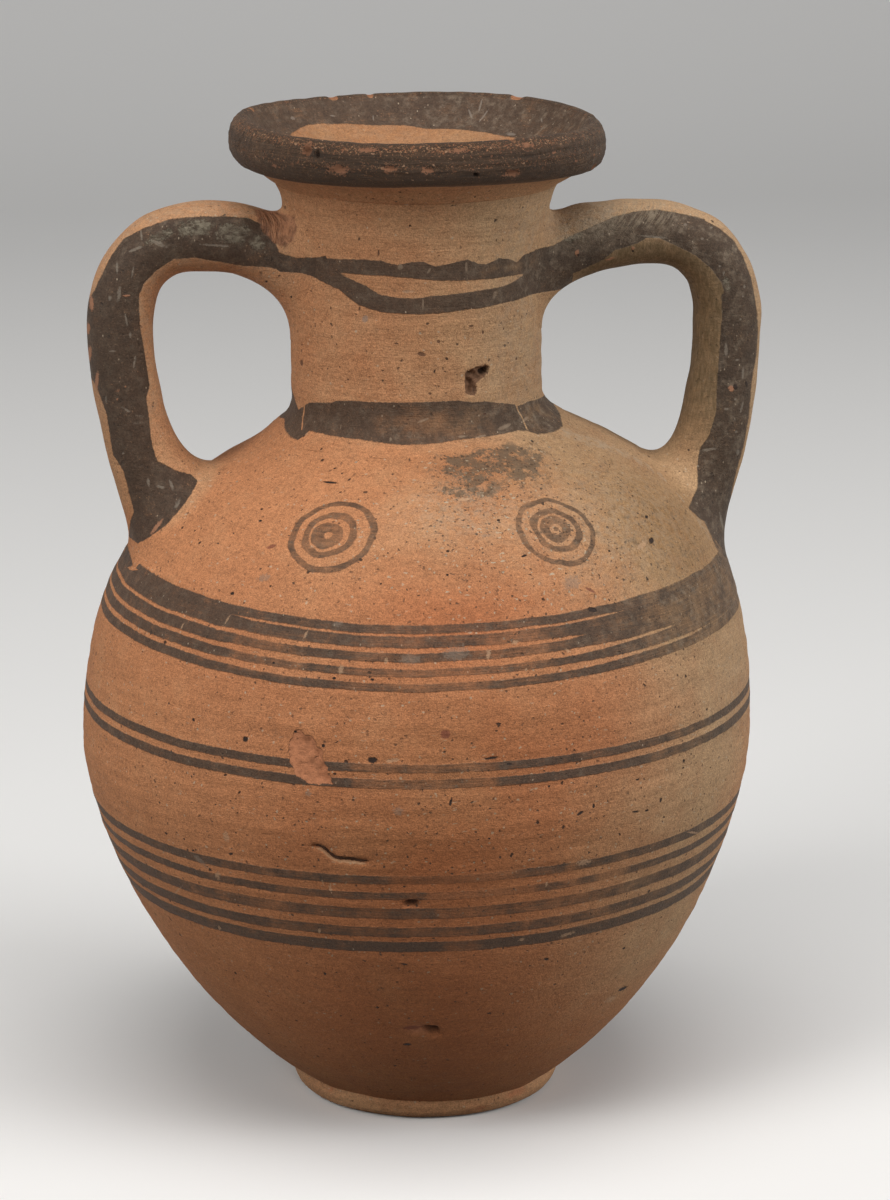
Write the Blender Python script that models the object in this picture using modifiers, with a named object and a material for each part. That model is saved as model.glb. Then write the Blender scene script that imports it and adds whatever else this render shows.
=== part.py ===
"""Miniature two-handled amphora of painted clay.

The jar is built as the potter joined it: a thrown body, a foot ring seated under it, a neck
plugged into the shoulder, a heavy lip ring over the neck, two strap handles, and a collar of
luting clay pressed round each end of each handle.

Metres, +Z up. The origin is on the axis at the plane that the foot stands on, the handles lie
along X, and -Y is the painted front.
"""

import math

import bmesh
import bpy
from mathutils import Vector

MM = 0.001

# Clearance between two pieces of clay that meet, and the wall of everything thrown
JOINT_GAP = 0.3 * MM
WALL = 4.0 * MM

# Foot ring, with a tongue that locates it in the body's underside
FOOT_RADIUS = 21.4 * MM
FOOT_BORE_RADIUS = 13.5 * MM
FOOT_HEIGHT = 3.0 * MM
FOOT_EDGE_ROUND = 0.7 * MM
TONGUE_WIDTH = 3.0 * MM
TONGUE_HEIGHT = 1.2 * MM

# Body: two cubic curves that meet upright at the belly. A pull is the length of a curve's
# control arm, and a slope is its angle above the horizontal where it meets the foot or neck.
BODY_HEIGHT = 110.2 * MM
BASE_STEP = 0.4 * MM
BASE_SLOPE = math.radians(35.0)
BASE_PULL = 33.5 * MM
BELLY_RADIUS = 55.9 * MM
BELLY_HEIGHT = 58.7 * MM
BELLY_LOWER_PULL = 7.6 * MM
BELLY_UPPER_PULL = 33.4 * MM
SHOULDER_SLOPE = math.radians(23.4)
SHOULDER_PULL = 21.3 * MM
FLOOR_THICKNESS = 6.5 * MM
UNDERSIDE_RISE = 1.4 * MM

# Neck: a tube that widens at both ends, with a plug below and a locating lip above
NECK_HEIGHT = 40.4 * MM
NECK_RADIUS = 20.5 * MM
NECK_FOOT_SPREAD = 2.3 * MM
NECK_FOOT_FLARE = 5.0 * MM
NECK_TOP_SPREAD = 2.2 * MM
NECK_TOP_FLARE = 11.0 * MM
PLUG_LENGTH = 3.6 * MM
PLUG_STEP = 1.7 * MM
SPIGOT_HEIGHT = 2.0 * MM
SPIGOT_STEP = 1.6 * MM
SPIGOT_WALL = 2.0 * MM

# Lip ring
LIP_HEIGHT = 10.5 * MM
LIP_RADIUS = 30.5 * MM
LIP_BULGE = 2.0 * MM
LIP_FACE_HEIGHT = 8.0 * MM
LIP_EDGE_WIDTH = 0.9 * MM
FUNNEL_PULL = 3.4 * MM

# Handles: the middle line of the strap, measured from the walls that carry it
HANDLE_THICKNESS = 10.8 * MM
HANDLE_WIDTH = 13.0 * MM
HANDLE_REACH = 29.6 * MM
HANDLE_SIDE_DROP = 23.2 * MM
UPPER_ROOT_DROP = 11.7 * MM
UPPER_ROOT_SLOPE = math.radians(20.6)
UPPER_ROOT_PULL = 23.7 * MM
SIDE_UPPER_PULL = 11.7 * MM
SIDE_LOWER_PULL = 11.0 * MM
LOWER_ROOT_INSET = 11.3 * MM
LOWER_ROOT_LEAN = math.radians(14.3)
LOWER_ROOT_PULL = 10.0 * MM
ROOT_DEPTH = 3.0 * MM
ROOT_SWELL = 1.08

# Luting clay: each collar spreads over the wall beyond the strap, rises along the strap to a
# thin upper edge, and is rooted in the wall. A shift moves its foot along the wall.
LUTING_EDGE = 0.8 * MM
LUTING_DEPTH = 6.0 * MM
UPPER_LUTING_SPREAD = 4.4 * MM
UPPER_LUTING_RISE = 8.0 * MM
UPPER_LUTING_SHIFT = -2.0 * MM
LOWER_LUTING_SPREAD = 4.0 * MM
LOWER_LUTING_RISE = 9.0 * MM
LOWER_LUTING_SHIFT = 1.2 * MM

# Facets of the turned pieces, and points along the curves
TURN_STEPS = 48
BODY_CURVE_POINTS = 12
INNER_CURVE_POINTS = 8
NECK_CURVE_POINTS = 5
LIP_CURVE_POINTS = 7
HANDLE_CURVE_POINTS = 12
HANDLE_BEVEL_RESOLUTION = 5
LUTING_RINGS = 5
LUTING_SIDES = 24
MERGE_DISTANCE = 0.01 * MM

# Heights of the joints, stacked from the plane the foot stands on
BODY_BASE_Z = FOOT_HEIGHT + JOINT_GAP
SHOULDER_Z = BODY_BASE_Z + BODY_HEIGHT
BELLY_Z = BODY_BASE_Z + BELLY_HEIGHT
NECK_FOOT_Z = SHOULDER_Z + JOINT_GAP
NECK_TOP_Z = NECK_FOOT_Z + NECK_HEIGHT
LIP_FOOT_Z = NECK_TOP_Z + JOINT_GAP
LIP_TOP_Z = LIP_FOOT_Z + LIP_HEIGHT

# Radii that follow from the pieces that meet there
BODY_BASE_RADIUS = FOOT_RADIUS + BASE_STEP
TONGUE_RADIUS = (FOOT_RADIUS + FOOT_BORE_RADIUS) / 2
NECK_FOOT_RADIUS = NECK_RADIUS + NECK_FOOT_SPREAD
SHOULDER_TOP_RADIUS = NECK_FOOT_RADIUS + JOINT_GAP
NECK_TOP_RADIUS = NECK_RADIUS + NECK_TOP_SPREAD
THROAT_RADIUS = NECK_RADIUS - WALL
PLUG_RADIUS = NECK_RADIUS - PLUG_STEP
SOCKET_RADIUS = PLUG_RADIUS + JOINT_GAP
SPIGOT_RADIUS = NECK_TOP_RADIUS - SPIGOT_STEP
SPIGOT_BORE_RADIUS = SPIGOT_RADIUS - SPIGOT_WALL
LIP_SOCKET_RADIUS = SPIGOT_RADIUS + JOINT_GAP
LOWER_ROOT_RADIUS = BELLY_RADIUS - LOWER_ROOT_INSET

CLAY = (0.56, 0.25, 0.12, 1.0)
PAINT = (0.055, 0.042, 0.036, 1.0)
WORN_PAINT = (0.10, 0.065, 0.05, 1.0)
MATT = 0.8


def cubic(start, start_arm, end_arm, end, count):
    """Points of a cubic curve from start to end, with both ends included."""
    points = []
    for step in range(count + 1):
        t = step / count
        s = 1 - t
        weights = (s * s * s, 3 * s * s * t, 3 * s * t * t, t * t * t)
        corners = (start, start_arm, end_arm, end)
        points.append(tuple(sum(w * c[k] for w, c in zip(weights, corners)) for k in (0, 1)))
    return points


def offset(points, distance):
    """The open outline moved sideways: outwards for a positive distance, as seen going down."""
    moved = []
    for k, (r, z) in enumerate(points):
        before = points[max(k - 1, 0)]
        after = points[min(k + 1, len(points) - 1)]
        along_r = after[0] - before[0]
        along_z = after[1] - before[1]
        length = math.hypot(along_r, along_z)
        moved.append((r - distance * along_z / length, z + distance * along_r / length))
    return moved


def height_at(outline, radius):
    """Height of an outline that widens as it runs downwards, at one radius."""
    for (r0, z0), (r1, z1) in zip(outline, outline[1:]):
        if r0 <= radius <= r1:
            return z0 + (z1 - z0) * (radius - r0) / (r1 - r0)
    raise ValueError("the radius is outside the outline")


def shoulder_curve(count):
    """Outline from the top of the shoulder down to the belly."""
    top = (SHOULDER_TOP_RADIUS, SHOULDER_Z)
    top_arm = (
        SHOULDER_TOP_RADIUS + SHOULDER_PULL * math.cos(SHOULDER_SLOPE),
        SHOULDER_Z - SHOULDER_PULL * math.sin(SHOULDER_SLOPE),
    )
    belly_arm = (BELLY_RADIUS, BELLY_Z + BELLY_UPPER_PULL)
    return cubic(top, top_arm, belly_arm, (BELLY_RADIUS, BELLY_Z), count)


def lower_curve(count):
    """Outline from the belly down to the edge of the base."""
    belly_arm = (BELLY_RADIUS, BELLY_Z - BELLY_LOWER_PULL)
    base_arm = (
        BODY_BASE_RADIUS + BASE_PULL * math.cos(BASE_SLOPE),
        BODY_BASE_Z + BASE_PULL * math.sin(BASE_SLOPE),
    )
    base = (BODY_BASE_RADIUS, BODY_BASE_Z)
    return cubic((BELLY_RADIUS, BELLY_Z), belly_arm, base_arm, base, count)


def body_outline(count):
    """The body's outer side, from the shoulder's top down to the base."""
    return shoulder_curve(count) + lower_curve(count)[1:]


def neck_outline(count):
    """The neck's outer side, from the lip's seat down to the shoulder."""
    straight_top = NECK_TOP_Z - NECK_TOP_FLARE
    straight_foot = NECK_FOOT_Z + NECK_FOOT_FLARE
    upper = cubic(
        (NECK_TOP_RADIUS, NECK_TOP_Z),
        (NECK_RADIUS, NECK_TOP_Z - NECK_TOP_FLARE / 3),
        (NECK_RADIUS, NECK_TOP_Z - NECK_TOP_FLARE / 2),
        (NECK_RADIUS, straight_top),
        count,
    )
    lower = cubic(
        (NECK_RADIUS, straight_foot),
        (NECK_RADIUS, NECK_FOOT_Z + NECK_FOOT_FLARE / 2),
        (NECK_RADIUS, NECK_FOOT_Z + NECK_FOOT_FLARE / 4),
        (NECK_FOOT_RADIUS, NECK_FOOT_Z),
        count,
    )
    return upper + lower


def material(name, colour):
    """A matt clay or paint for one piece."""
    made = bpy.data.materials.new(name)
    made.use_nodes = True
    shader = made.node_tree.nodes["Principled BSDF"]
    shader.inputs["Base Color"].default_value = colour
    shader.inputs["Roughness"].default_value = MATT
    shader.inputs["Metallic"].default_value = 0.0
    return made


def link(name, mesh, collection, colour=CLAY):
    """An object for a mesh, with its own material, in a collection."""
    made = bpy.data.objects.new(name, mesh)
    collection.objects.link(made)
    mesh.materials.clear()
    mesh.materials.append(material(name + "_clay", colour))
    return made


def turned(name, profile, closed, collection, colour=CLAY):
    """A turned piece: its half outline and a Screw modifier of one full turn."""
    mesh = bpy.data.meshes.new(name)
    edges = [(k, k + 1) for k in range(len(profile) - 1)]
    if closed:
        edges.append((len(profile) - 1, 0))
    mesh.from_pydata([(r, 0.0, z) for r, z in profile], edges, [])
    made = link(name, mesh, collection, colour)
    turn = made.modifiers.new("Turn", "SCREW")
    turn.axis = "Z"
    turn.angle = 2 * math.pi
    turn.steps = TURN_STEPS
    turn.render_steps = TURN_STEPS
    turn.use_merge_vertices = True
    turn.merge_threshold = MERGE_DISTANCE
    turn.use_smooth_shade = True
    return made


def make_foot_ring(collection):
    """Foot ring: a low band with rounded edges, and a tongue on top."""
    outer = FOOT_RADIUS
    tongue_out = TONGUE_RADIUS + TONGUE_WIDTH / 2
    tongue_in = TONGUE_RADIUS - TONGUE_WIDTH / 2
    tongue_top = FOOT_HEIGHT + TONGUE_HEIGHT
    profile = [
        (tongue_in, tongue_top),
        (tongue_out, tongue_top),
        (tongue_out, FOOT_HEIGHT),
        (outer, FOOT_HEIGHT),
    ]
    turns = (0.0, math.pi / 4, math.pi / 2)
    rounding = FOOT_EDGE_ROUND
    profile += [
        (outer - rounding * (1 - math.cos(a)), rounding * (1 - math.sin(a))) for a in turns
    ]
    profile += [(FOOT_BORE_RADIUS, 0.0), (FOOT_BORE_RADIUS, FOOT_HEIGHT), (tongue_in, FOOT_HEIGHT)]
    return turned("foot_ring", profile, True, collection)


def make_body(collection):
    """Body: the thrown jar from its grooved underside up to the socket for the neck."""
    outer = body_outline(BODY_CURVE_POINTS)
    groove_out = TONGUE_RADIUS + TONGUE_WIDTH / 2 + JOINT_GAP
    groove_in = TONGUE_RADIUS - TONGUE_WIDTH / 2 - JOINT_GAP
    groove_top = BODY_BASE_Z + TONGUE_HEIGHT
    underside = [
        (groove_out, BODY_BASE_Z),
        (groove_out, groove_top),
        (groove_in, groove_top),
        (groove_in, BODY_BASE_Z),
        (FOOT_BORE_RADIUS, BODY_BASE_Z),
        (0.0, BODY_BASE_Z + UNDERSIDE_RISE),
    ]
    floor_z = BODY_BASE_Z + FLOOR_THICKNESS
    inner = offset(body_outline(INNER_CURVE_POINTS), -WALL)
    inner = [(r, z) for r, z in inner if r > SOCKET_RADIUS and z > floor_z]
    floor_edge = (inner[-1][0] - WALL, floor_z)
    cavity = [(0.0, floor_z), floor_edge] + inner[::-1]
    socket = [(SOCKET_RADIUS, inner[0][1]), (SOCKET_RADIUS, SHOULDER_Z)]
    return turned("body", cavity + socket + outer + underside, False, collection)


def make_neck(collection):
    """Neck: a plug at its foot, and a low spigot above the ledge that carries the lip."""
    spigot_top = NECK_TOP_Z + SPIGOT_HEIGHT
    plug_foot = NECK_FOOT_Z - PLUG_LENGTH
    profile = [(SPIGOT_BORE_RADIUS, spigot_top), (SPIGOT_RADIUS, spigot_top)]
    profile += [(SPIGOT_RADIUS, NECK_TOP_Z)]
    profile += neck_outline(NECK_CURVE_POINTS)
    profile += [(PLUG_RADIUS, NECK_FOOT_Z), (PLUG_RADIUS, plug_foot), (THROAT_RADIUS, plug_foot)]
    throat_top = NECK_TOP_Z - NECK_TOP_FLARE
    profile += cubic(
        (THROAT_RADIUS, throat_top),
        (THROAT_RADIUS, NECK_TOP_Z - NECK_TOP_FLARE / 3),
        ((THROAT_RADIUS + SPIGOT_BORE_RADIUS) / 2, NECK_TOP_Z - SPIGOT_HEIGHT),
        (SPIGOT_BORE_RADIUS, spigot_top),
        NECK_CURVE_POINTS,
    )[:-1]
    return turned("neck", profile, True, collection)


def make_rim(collection):
    """Rim: the heavy lip, hollowed as a funnel and rebated over the neck's spigot."""
    edge_radius = LIP_RADIUS - LIP_BULGE
    face_middle = LIP_TOP_Z - LIP_FACE_HEIGHT / 2
    face = []
    for step in range(LIP_CURVE_POINTS + 1):
        turn = math.pi / 2 - math.pi * step / LIP_CURVE_POINTS
        out = edge_radius + LIP_BULGE * math.cos(turn)
        face.append((out, face_middle + LIP_FACE_HEIGHT / 2 * math.sin(turn)))
    shelf = LIP_FOOT_Z + SPIGOT_HEIGHT
    seat = [(NECK_TOP_RADIUS, LIP_FOOT_Z), (LIP_SOCKET_RADIUS, LIP_FOOT_Z)]
    seat += [(LIP_SOCKET_RADIUS, shelf)]
    funnel_foot = (SPIGOT_BORE_RADIUS + SPIGOT_WALL / 3, shelf)
    lip_inner = edge_radius - LIP_EDGE_WIDTH
    funnel = cubic(
        funnel_foot,
        (funnel_foot[0] + FUNNEL_PULL / 2, shelf + FUNNEL_PULL),
        (lip_inner - FUNNEL_PULL / 2, LIP_TOP_Z - FUNNEL_PULL),
        (lip_inner, LIP_TOP_Z - LIP_EDGE_WIDTH / 3),
        LIP_CURVE_POINTS,
    )
    return turned("rim", face + seat + funnel, True, collection, WORN_PAINT)


def vessel_cutter(collection):
    """The jar's filled outer shape, one joint gap larger, for the ends of what stands on it."""
    outline = offset(neck_outline(NECK_CURVE_POINTS), JOINT_GAP)
    outline += offset(body_outline(BODY_CURVE_POINTS), JOINT_GAP)
    outline = [(0.0, NECK_TOP_Z)] + outline + [(0.0, BODY_BASE_Z)]
    return hide_cutter(turned("vessel_cutter", outline, False, collection))


def handle_path():
    """The strap's middle line in the plane of the handles, from the neck to the shoulder."""
    root = (NECK_RADIUS, NECK_TOP_Z - UPPER_ROOT_DROP)
    root_arm = (
        root[0] + UPPER_ROOT_PULL * math.cos(UPPER_ROOT_SLOPE),
        root[1] + UPPER_ROOT_PULL * math.sin(UPPER_ROOT_SLOPE),
    )
    side = (NECK_RADIUS + HANDLE_REACH, NECK_TOP_Z - HANDLE_SIDE_DROP)
    foot_z = height_at(shoulder_curve(BODY_CURVE_POINTS), LOWER_ROOT_RADIUS)
    foot = (LOWER_ROOT_RADIUS, foot_z)
    foot_arm = (
        foot[0] + LOWER_ROOT_PULL * math.sin(LOWER_ROOT_LEAN),
        foot[1] + LOWER_ROOT_PULL * math.cos(LOWER_ROOT_LEAN),
    )
    above = (side[0], side[1] + SIDE_UPPER_PULL)
    below = (side[0], side[1] - SIDE_LOWER_PULL)
    upper = cubic(root, root_arm, above, side, HANDLE_CURVE_POINTS)
    return upper + cubic(side, below, foot_arm, foot, HANDLE_CURVE_POINTS)[1:]


def beyond(path, depth):
    """The path's first point moved back along its first stretch, into the wall behind it."""
    point, direction = walk(path, 0.0)
    return (point[0] - depth * direction[0], point[1] - depth * direction[1])


def walk(path, distance):
    """The point at a distance along a path, and the direction of travel there."""
    for (r0, z0), (r1, z1) in zip(path, path[1:]):
        length = math.hypot(r1 - r0, z1 - z0)
        if distance <= length:
            break
        distance -= length
    direction = ((r1 - r0) / length, (z1 - z0) / length)
    return (r0 + distance * direction[0], z0 + distance * direction[1]), direction


def strap(name, growth):
    """The strap along its middle line at +X as a closed mesh, growth thicker all round."""
    path = handle_path()
    path = [beyond(path, ROOT_DEPTH)] + path + [beyond(path[::-1], 2 * ROOT_DEPTH)]
    curve = bpy.data.curves.new(name, "CURVE")
    curve.dimensions = "3D"
    curve.bevel_depth = HANDLE_THICKNESS / 2 + growth
    curve.bevel_resolution = HANDLE_BEVEL_RESOLUTION
    curve.use_fill_caps = True
    spline = curve.splines.new("POLY")
    spline.points.add(len(path) - 1)
    last = len(path) - 1
    for k, (r, z) in enumerate(path):
        spline.points[k].co = (r, 0.0, z, 1.0)
        from_middle = abs(2 * k / last - 1)
        spline.points[k].radius = 1 + (ROOT_SWELL - 1) * from_middle**4
    drawn = bpy.data.objects.new(name, curve)
    bpy.context.scene.collection.objects.link(drawn)
    bpy.context.view_layer.update()
    evaluated = drawn.evaluated_get(bpy.context.evaluated_depsgraph_get())
    mesh = bpy.data.meshes.new_from_object(evaluated)
    bpy.data.objects.remove(drawn)
    bpy.data.curves.remove(curve)
    widening = (HANDLE_WIDTH + 2 * growth) / (HANDLE_THICKNESS + 2 * growth)
    shape = bmesh.new()
    shape.from_mesh(mesh)
    bmesh.ops.remove_doubles(shape, verts=shape.verts, dist=MERGE_DISTANCE)
    bmesh.ops.scale(shape, vec=Vector((1.0, widening, 1.0)), verts=shape.verts)
    shape.to_mesh(mesh)
    shape.free()
    mesh.shade_smooth()
    return mesh


def cut(piece, cutters):
    """Takes each cutter away from a piece."""
    for cutter in cutters:
        boolean = piece.modifiers.new("Cut by " + cutter.name, "BOOLEAN")
        boolean.operation = "DIFFERENCE"
        boolean.solver = "EXACT"
        boolean.object = cutter


def hide_cutter(cutter):
    """Marks an object as a tool that shapes others and isn't part of the jar."""
    cutter.hide_render = True
    cutter.display_type = "WIRE"
    return cutter


def loft(name, rings, collection):
    """A closed skin over rings of points, with a flat cap at each end."""
    shape = bmesh.new()
    rows = [[shape.verts.new(point) for point in ring] for ring in rings]
    count = len(rows[0])
    for lower, upper in zip(rows, rows[1:]):
        for k in range(count):
            after = (k + 1) % count
            shape.faces.new((lower[k], lower[after], upper[after], upper[k]))
    shape.faces.new(rows[0][::-1])
    shape.faces.new(rows[-1])
    bmesh.ops.recalc_face_normals(shape, faces=shape.faces)
    mesh = bpy.data.meshes.new(name)
    shape.to_mesh(mesh)
    shape.free()
    mesh.shade_smooth()
    return link(name, mesh, collection)


def ring_of_points(centre, across, half_thick, half_wide):
    """An oval of points round a centre, thick along a direction in the handles' plane."""
    points = []
    for k in range(LUTING_SIDES):
        angle = 2 * math.pi * k / LUTING_SIDES
        out = half_thick * math.cos(angle)
        x = centre[0] + out * across[0]
        z = centre[1] + out * across[1]
        points.append((x, half_wide * math.sin(angle), z))
    return points


def luting(path, wall_up, spread, rise, shift):
    """Rings of a collar of clay, from inside the wall, over a concave fillet, to the strap.

    The path is the strap's middle line as it leaves the wall, and wall_up is the direction up
    the wall there. A ring turns from lying on the wall to lying square across the strap."""
    edge_thick = HANDLE_THICKNESS / 2 + JOINT_GAP + LUTING_EDGE
    edge_wide = HANDLE_WIDTH / 2 + JOINT_GAP + LUTING_EDGE
    rings = []
    for k in range(LUTING_RINGS + 1):
        share = k / LUTING_RINGS
        flare = (1 - share) ** 2
        point, direction = walk(path, rise * share)
        across = Vector((-direction[1], direction[0]))
        if across.dot(Vector(wall_up)) < 0:
            across = -across
        across = Vector(wall_up).lerp(across, share).normalized()
        centre = (point[0] + shift * flare * wall_up[0], point[1] + shift * flare * wall_up[1])
        thick = edge_thick + (spread - LUTING_EDGE) * flare
        wide = edge_wide + (spread - LUTING_EDGE) * flare
        rings.append(ring_of_points(centre, across, thick, wide))
    inward = Vector((-wall_up[1], 0.0, wall_up[0]))
    root = [tuple(Vector(point) + LUTING_DEPTH * inward) for point in rings[0]]
    return [root] + rings


def make_handle(label, turn, vessel, parts, cutters):
    """One strap handle with its two collars, turned half round the axis for the left side."""
    name = "handle_" + label
    handle = link(name, strap(name, 0.0), parts, PAINT)
    handle.rotation_euler.z = turn
    cut(handle, [vessel])
    cutter_name = "strap_cutter_" + label
    around_strap = hide_cutter(link(cutter_name, strap(cutter_name, JOINT_GAP), cutters))
    around_strap.rotation_euler.z = turn
    path = handle_path()
    shoulder = shoulder_curve(BODY_CURVE_POINTS)
    half = HANDLE_THICKNESS / 2
    uphill = height_at(shoulder, LOWER_ROOT_RADIUS - half)
    downhill = height_at(shoulder, LOWER_ROOT_RADIUS + half)
    up_the_shoulder = Vector((-2 * half, uphill - downhill)).normalized()
    collars = {
        "upper_luting_": luting(
            path, (0.0, 1.0), UPPER_LUTING_SPREAD, UPPER_LUTING_RISE, UPPER_LUTING_SHIFT
        ),
        "lower_luting_": luting(
            path[::-1],
            up_the_shoulder,
            LOWER_LUTING_SPREAD,
            LOWER_LUTING_RISE,
            LOWER_LUTING_SHIFT,
        ),
    }
    for start, rings in collars.items():
        collar = loft(start + label, rings, parts)
        collar.rotation_euler.z = turn
        cut(collar, [vessel, around_strap])


def main():
    for old in list(bpy.data.objects):
        bpy.data.objects.remove(old)
    parts = bpy.data.collections.new("miniature_amphora")
    cutters = bpy.data.collections.new("cutters")
    bpy.context.scene.collection.children.link(parts)
    bpy.context.scene.collection.children.link(cutters)
    make_foot_ring(parts)
    make_body(parts)
    make_neck(parts)
    make_rim(parts)
    vessel = vessel_cutter(cutters)
    for label, turn in (("left", math.pi), ("right", 0.0)):
        make_handle(label, turn, vessel, parts, cutters)


main()
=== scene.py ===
"""Looks of the miniature amphora: thrown, luted and painted clay, worn and pitted.

Shapes are worked out in millimetres as whole arrays and go into the meshes in metres. Azimuth is
in degrees round the jar's axis: 0 is the painted front, -Y, and it grows towards the right
handle, +X.
"""

import math
from functools import partialmethod

import bpy
import numpy as np
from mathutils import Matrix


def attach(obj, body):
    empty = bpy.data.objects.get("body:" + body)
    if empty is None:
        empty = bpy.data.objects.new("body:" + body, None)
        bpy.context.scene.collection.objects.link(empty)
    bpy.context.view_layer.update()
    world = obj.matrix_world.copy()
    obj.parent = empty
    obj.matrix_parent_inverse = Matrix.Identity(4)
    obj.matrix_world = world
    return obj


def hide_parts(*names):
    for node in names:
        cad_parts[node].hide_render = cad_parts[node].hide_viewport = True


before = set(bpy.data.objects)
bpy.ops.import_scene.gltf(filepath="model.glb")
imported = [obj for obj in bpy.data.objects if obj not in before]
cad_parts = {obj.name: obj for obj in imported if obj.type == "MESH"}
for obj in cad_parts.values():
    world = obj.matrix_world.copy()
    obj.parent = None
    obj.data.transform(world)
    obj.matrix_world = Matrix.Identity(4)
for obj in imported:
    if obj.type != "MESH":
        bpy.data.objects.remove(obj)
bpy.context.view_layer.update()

MM = 0.001

# Camera: its distance from the axis and its height in mm, and how it is aimed, in degrees
CAMERA_DISTANCE = 688.9
CAMERA_HEIGHT = 265.4
CAMERA_AZIMUTH = -7.0
CAMERA_PITCH = 14.75
CAMERA_SWING = 0.315
CAMERA_SENSOR = 36.0
CAMERA_LENS = 128.19

# Drift of the thrown jar's middle sideways, along X, at heights in mm
LEAN_HEIGHTS = (0, 10, 20, 30, 40, 50, 60, 65, 70, 76, 81, 86, 91, 96, 104, 112, 120, 130, 150, 165)
LEAN_SHIFTS = (
    0.41, 0.2, -0.1, -0.35, -0.8, -1.05, -1.1, -1.03, -0.9, -0.65, -0.55, -0.3, 0.1, 0.3, 0.2, -0.4, -0.85,
    -0.9, -0.8, -0.7,
)

# Turned outline, in mm: where the neck's foot flows into the shoulder, and the body's curves
JOINT_HEIGHT = 113.8
BELLY = (55.9, 62.0)
BASE = (21.8, 3.3)
SHOULDER_ARM = (23.1 + 21.3 * math.cos(math.radians(23.4)), 113.5 - 21.3 * math.sin(math.radians(23.4)))
BASE_ARM = (21.8 + 33.0 * math.cos(math.radians(36.0)), 3.3 + 33.0 * math.sin(math.radians(36.0)))
NECK_POINTS = (
    (22.9, 154.6), (22.15, 153), (21.45, 150.6), (20.95, 147), (20.65, 143.2), (20.5, 136), (20.5, 124),
    (20.55, 120), (20.75, 118.3), (21.3, 116.7), (22.5, 115.2), (24.4, 114),
)
WALL_THICKNESS = 4.0
FLOOR_HEIGHT = 9.8

# Handles: middle line of the strap in its plane, as three-point arms of two cubic curves, in mm
STRAP_UPPER = ((20.5, 142.5), (42.69, 150.84), (50.1, 142.7), (50.1, 131.0))
STRAP_LOWER = ((50.1, 131.0), (50.1, 120.0), (47.07, 109.2), (44.6, 99.5))
STRAP_HALF_THICK = 5.4
STRAP_HALF_WIDE = 6.5
# How far the straps stand to the right of where they would mirror each other, at heights in mm
STRAP_SHIFT_HEIGHTS = (101.0, 106.0, 112.0, 120.0, 129.5, 137.0, 142.0, 150.0)
STRAP_SHIFTS = (1.4, 1.25, 1.1, 0.95, 0.75, 0.6, 0.35, 0.25)

# Signed distances in mm, kept within these: to the edge of paint, and of broken or torn clay
PAINT_REACH = 9.0
BREAK_REACH = 5.0

# Where no mark is near, and numbers that stand for very far and for nearly nothing
OFF_MARK = 9.0
FAR = 1e9
TINY = 1e-12


def cubic(start, arm, end_arm, end, count):
    """Points of a cubic curve: the four corners weighted by s^3, 3s^2t, 3st^2 and t^3."""
    t = np.linspace(0.0, 1.0, count)[:, None]
    s = 1.0 - t
    corners = [np.array(p, float) for p in (start, arm, end_arm, end)]
    return s**3 * corners[0] + 3 * s * s * t * corners[1] + 3 * s * t * t * corners[2] + t**3 * corners[3]


def lengths(points):
    """Length along a line at each of its points."""
    return np.concatenate([[0.0], np.cumsum(np.hypot(*np.diff(points, axis=0).T))])


def even(points, count):
    """The same line with its points spread evenly along its length."""
    run = lengths(points)
    at = np.linspace(0.0, run[-1], count)
    return np.stack([np.interp(at, run, points[:, k]) for k in range(points.shape[1])], 1)


def rounded(points, passes):
    """The line with each inner point moved, once in each pass, halfway to the mean of its neighbours."""
    line = points.copy()
    for _ in range(passes):
        line[1:-1] = (line[:-2] + 2 * line[1:-1] + line[2:]) / 4
    return line


def smooth(low, high, value):
    """0 below low, 1 above high, and 3t^2 - 2t^3 between."""
    t = np.clip((value - low) / (high - low), 0.0, 1.0)
    return t * t * (3 - 2 * t)


def lean(height):
    """Sideways shift of the jar's middle at a height."""
    return np.interp(height, LEAN_HEIGHTS, LEAN_SHIFTS)


def whole_outline():
    """Outer outline (radius, height) from the lip's seat down to the foot, evenly spaced."""
    shoulder = cubic((25.6, 113.1), SHOULDER_ARM, (BELLY[0], BELLY[1] + 33.4), BELLY, 200)
    lower = cubic(BELLY, (BELLY[0], BELLY[1] - 7.6), BASE_ARM, BASE, 200)[1:]
    neck = even(np.array(NECK_POINTS), 160)
    return even(rounded(even(np.vstack([neck, shoulder, lower]), 1400), 24), 1400)


OUTLINE = whole_outline()
RUN = lengths(OUTLINE)


def run_at(height):
    """Length along the outline, from the lip down, at a height."""
    return np.interp(-height, -OUTLINE[:, 1], RUN)


JOINT_RUN = float(run_at(JOINT_HEIGHT))


def outline_at(run):
    """Radius, height and outward normal of the outline at lengths along it from the lip down."""
    radius = np.interp(run, RUN, OUTLINE[:, 0])
    height = np.interp(run, RUN, OUTLINE[:, 1])
    slope = np.gradient(OUTLINE, RUN, axis=0)
    along_r = np.interp(run, RUN, slope[:, 0])
    along_z = np.interp(run, RUN, slope[:, 1])
    length = np.hypot(along_r, along_z)
    return radius, height, -along_z / length, along_r / length


def ripples(a, b, seed, low, high, count=14):
    """Smooth noise of about unit size: a sum of sines of seeded directions and wavelengths in mm."""
    random = np.random.default_rng(seed)
    total = np.zeros(np.broadcast(a, b).shape)
    for _ in range(count):
        wavelength = low * (high / low) ** random.random()
        direction = random.random() * 2 * math.pi
        phase = random.random() * 2 * math.pi
        along = a * math.cos(direction) + b * math.sin(direction)
        total += np.sin(2 * math.pi * along / wavelength + phase)
    return total / math.sqrt(count / 2)


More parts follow.
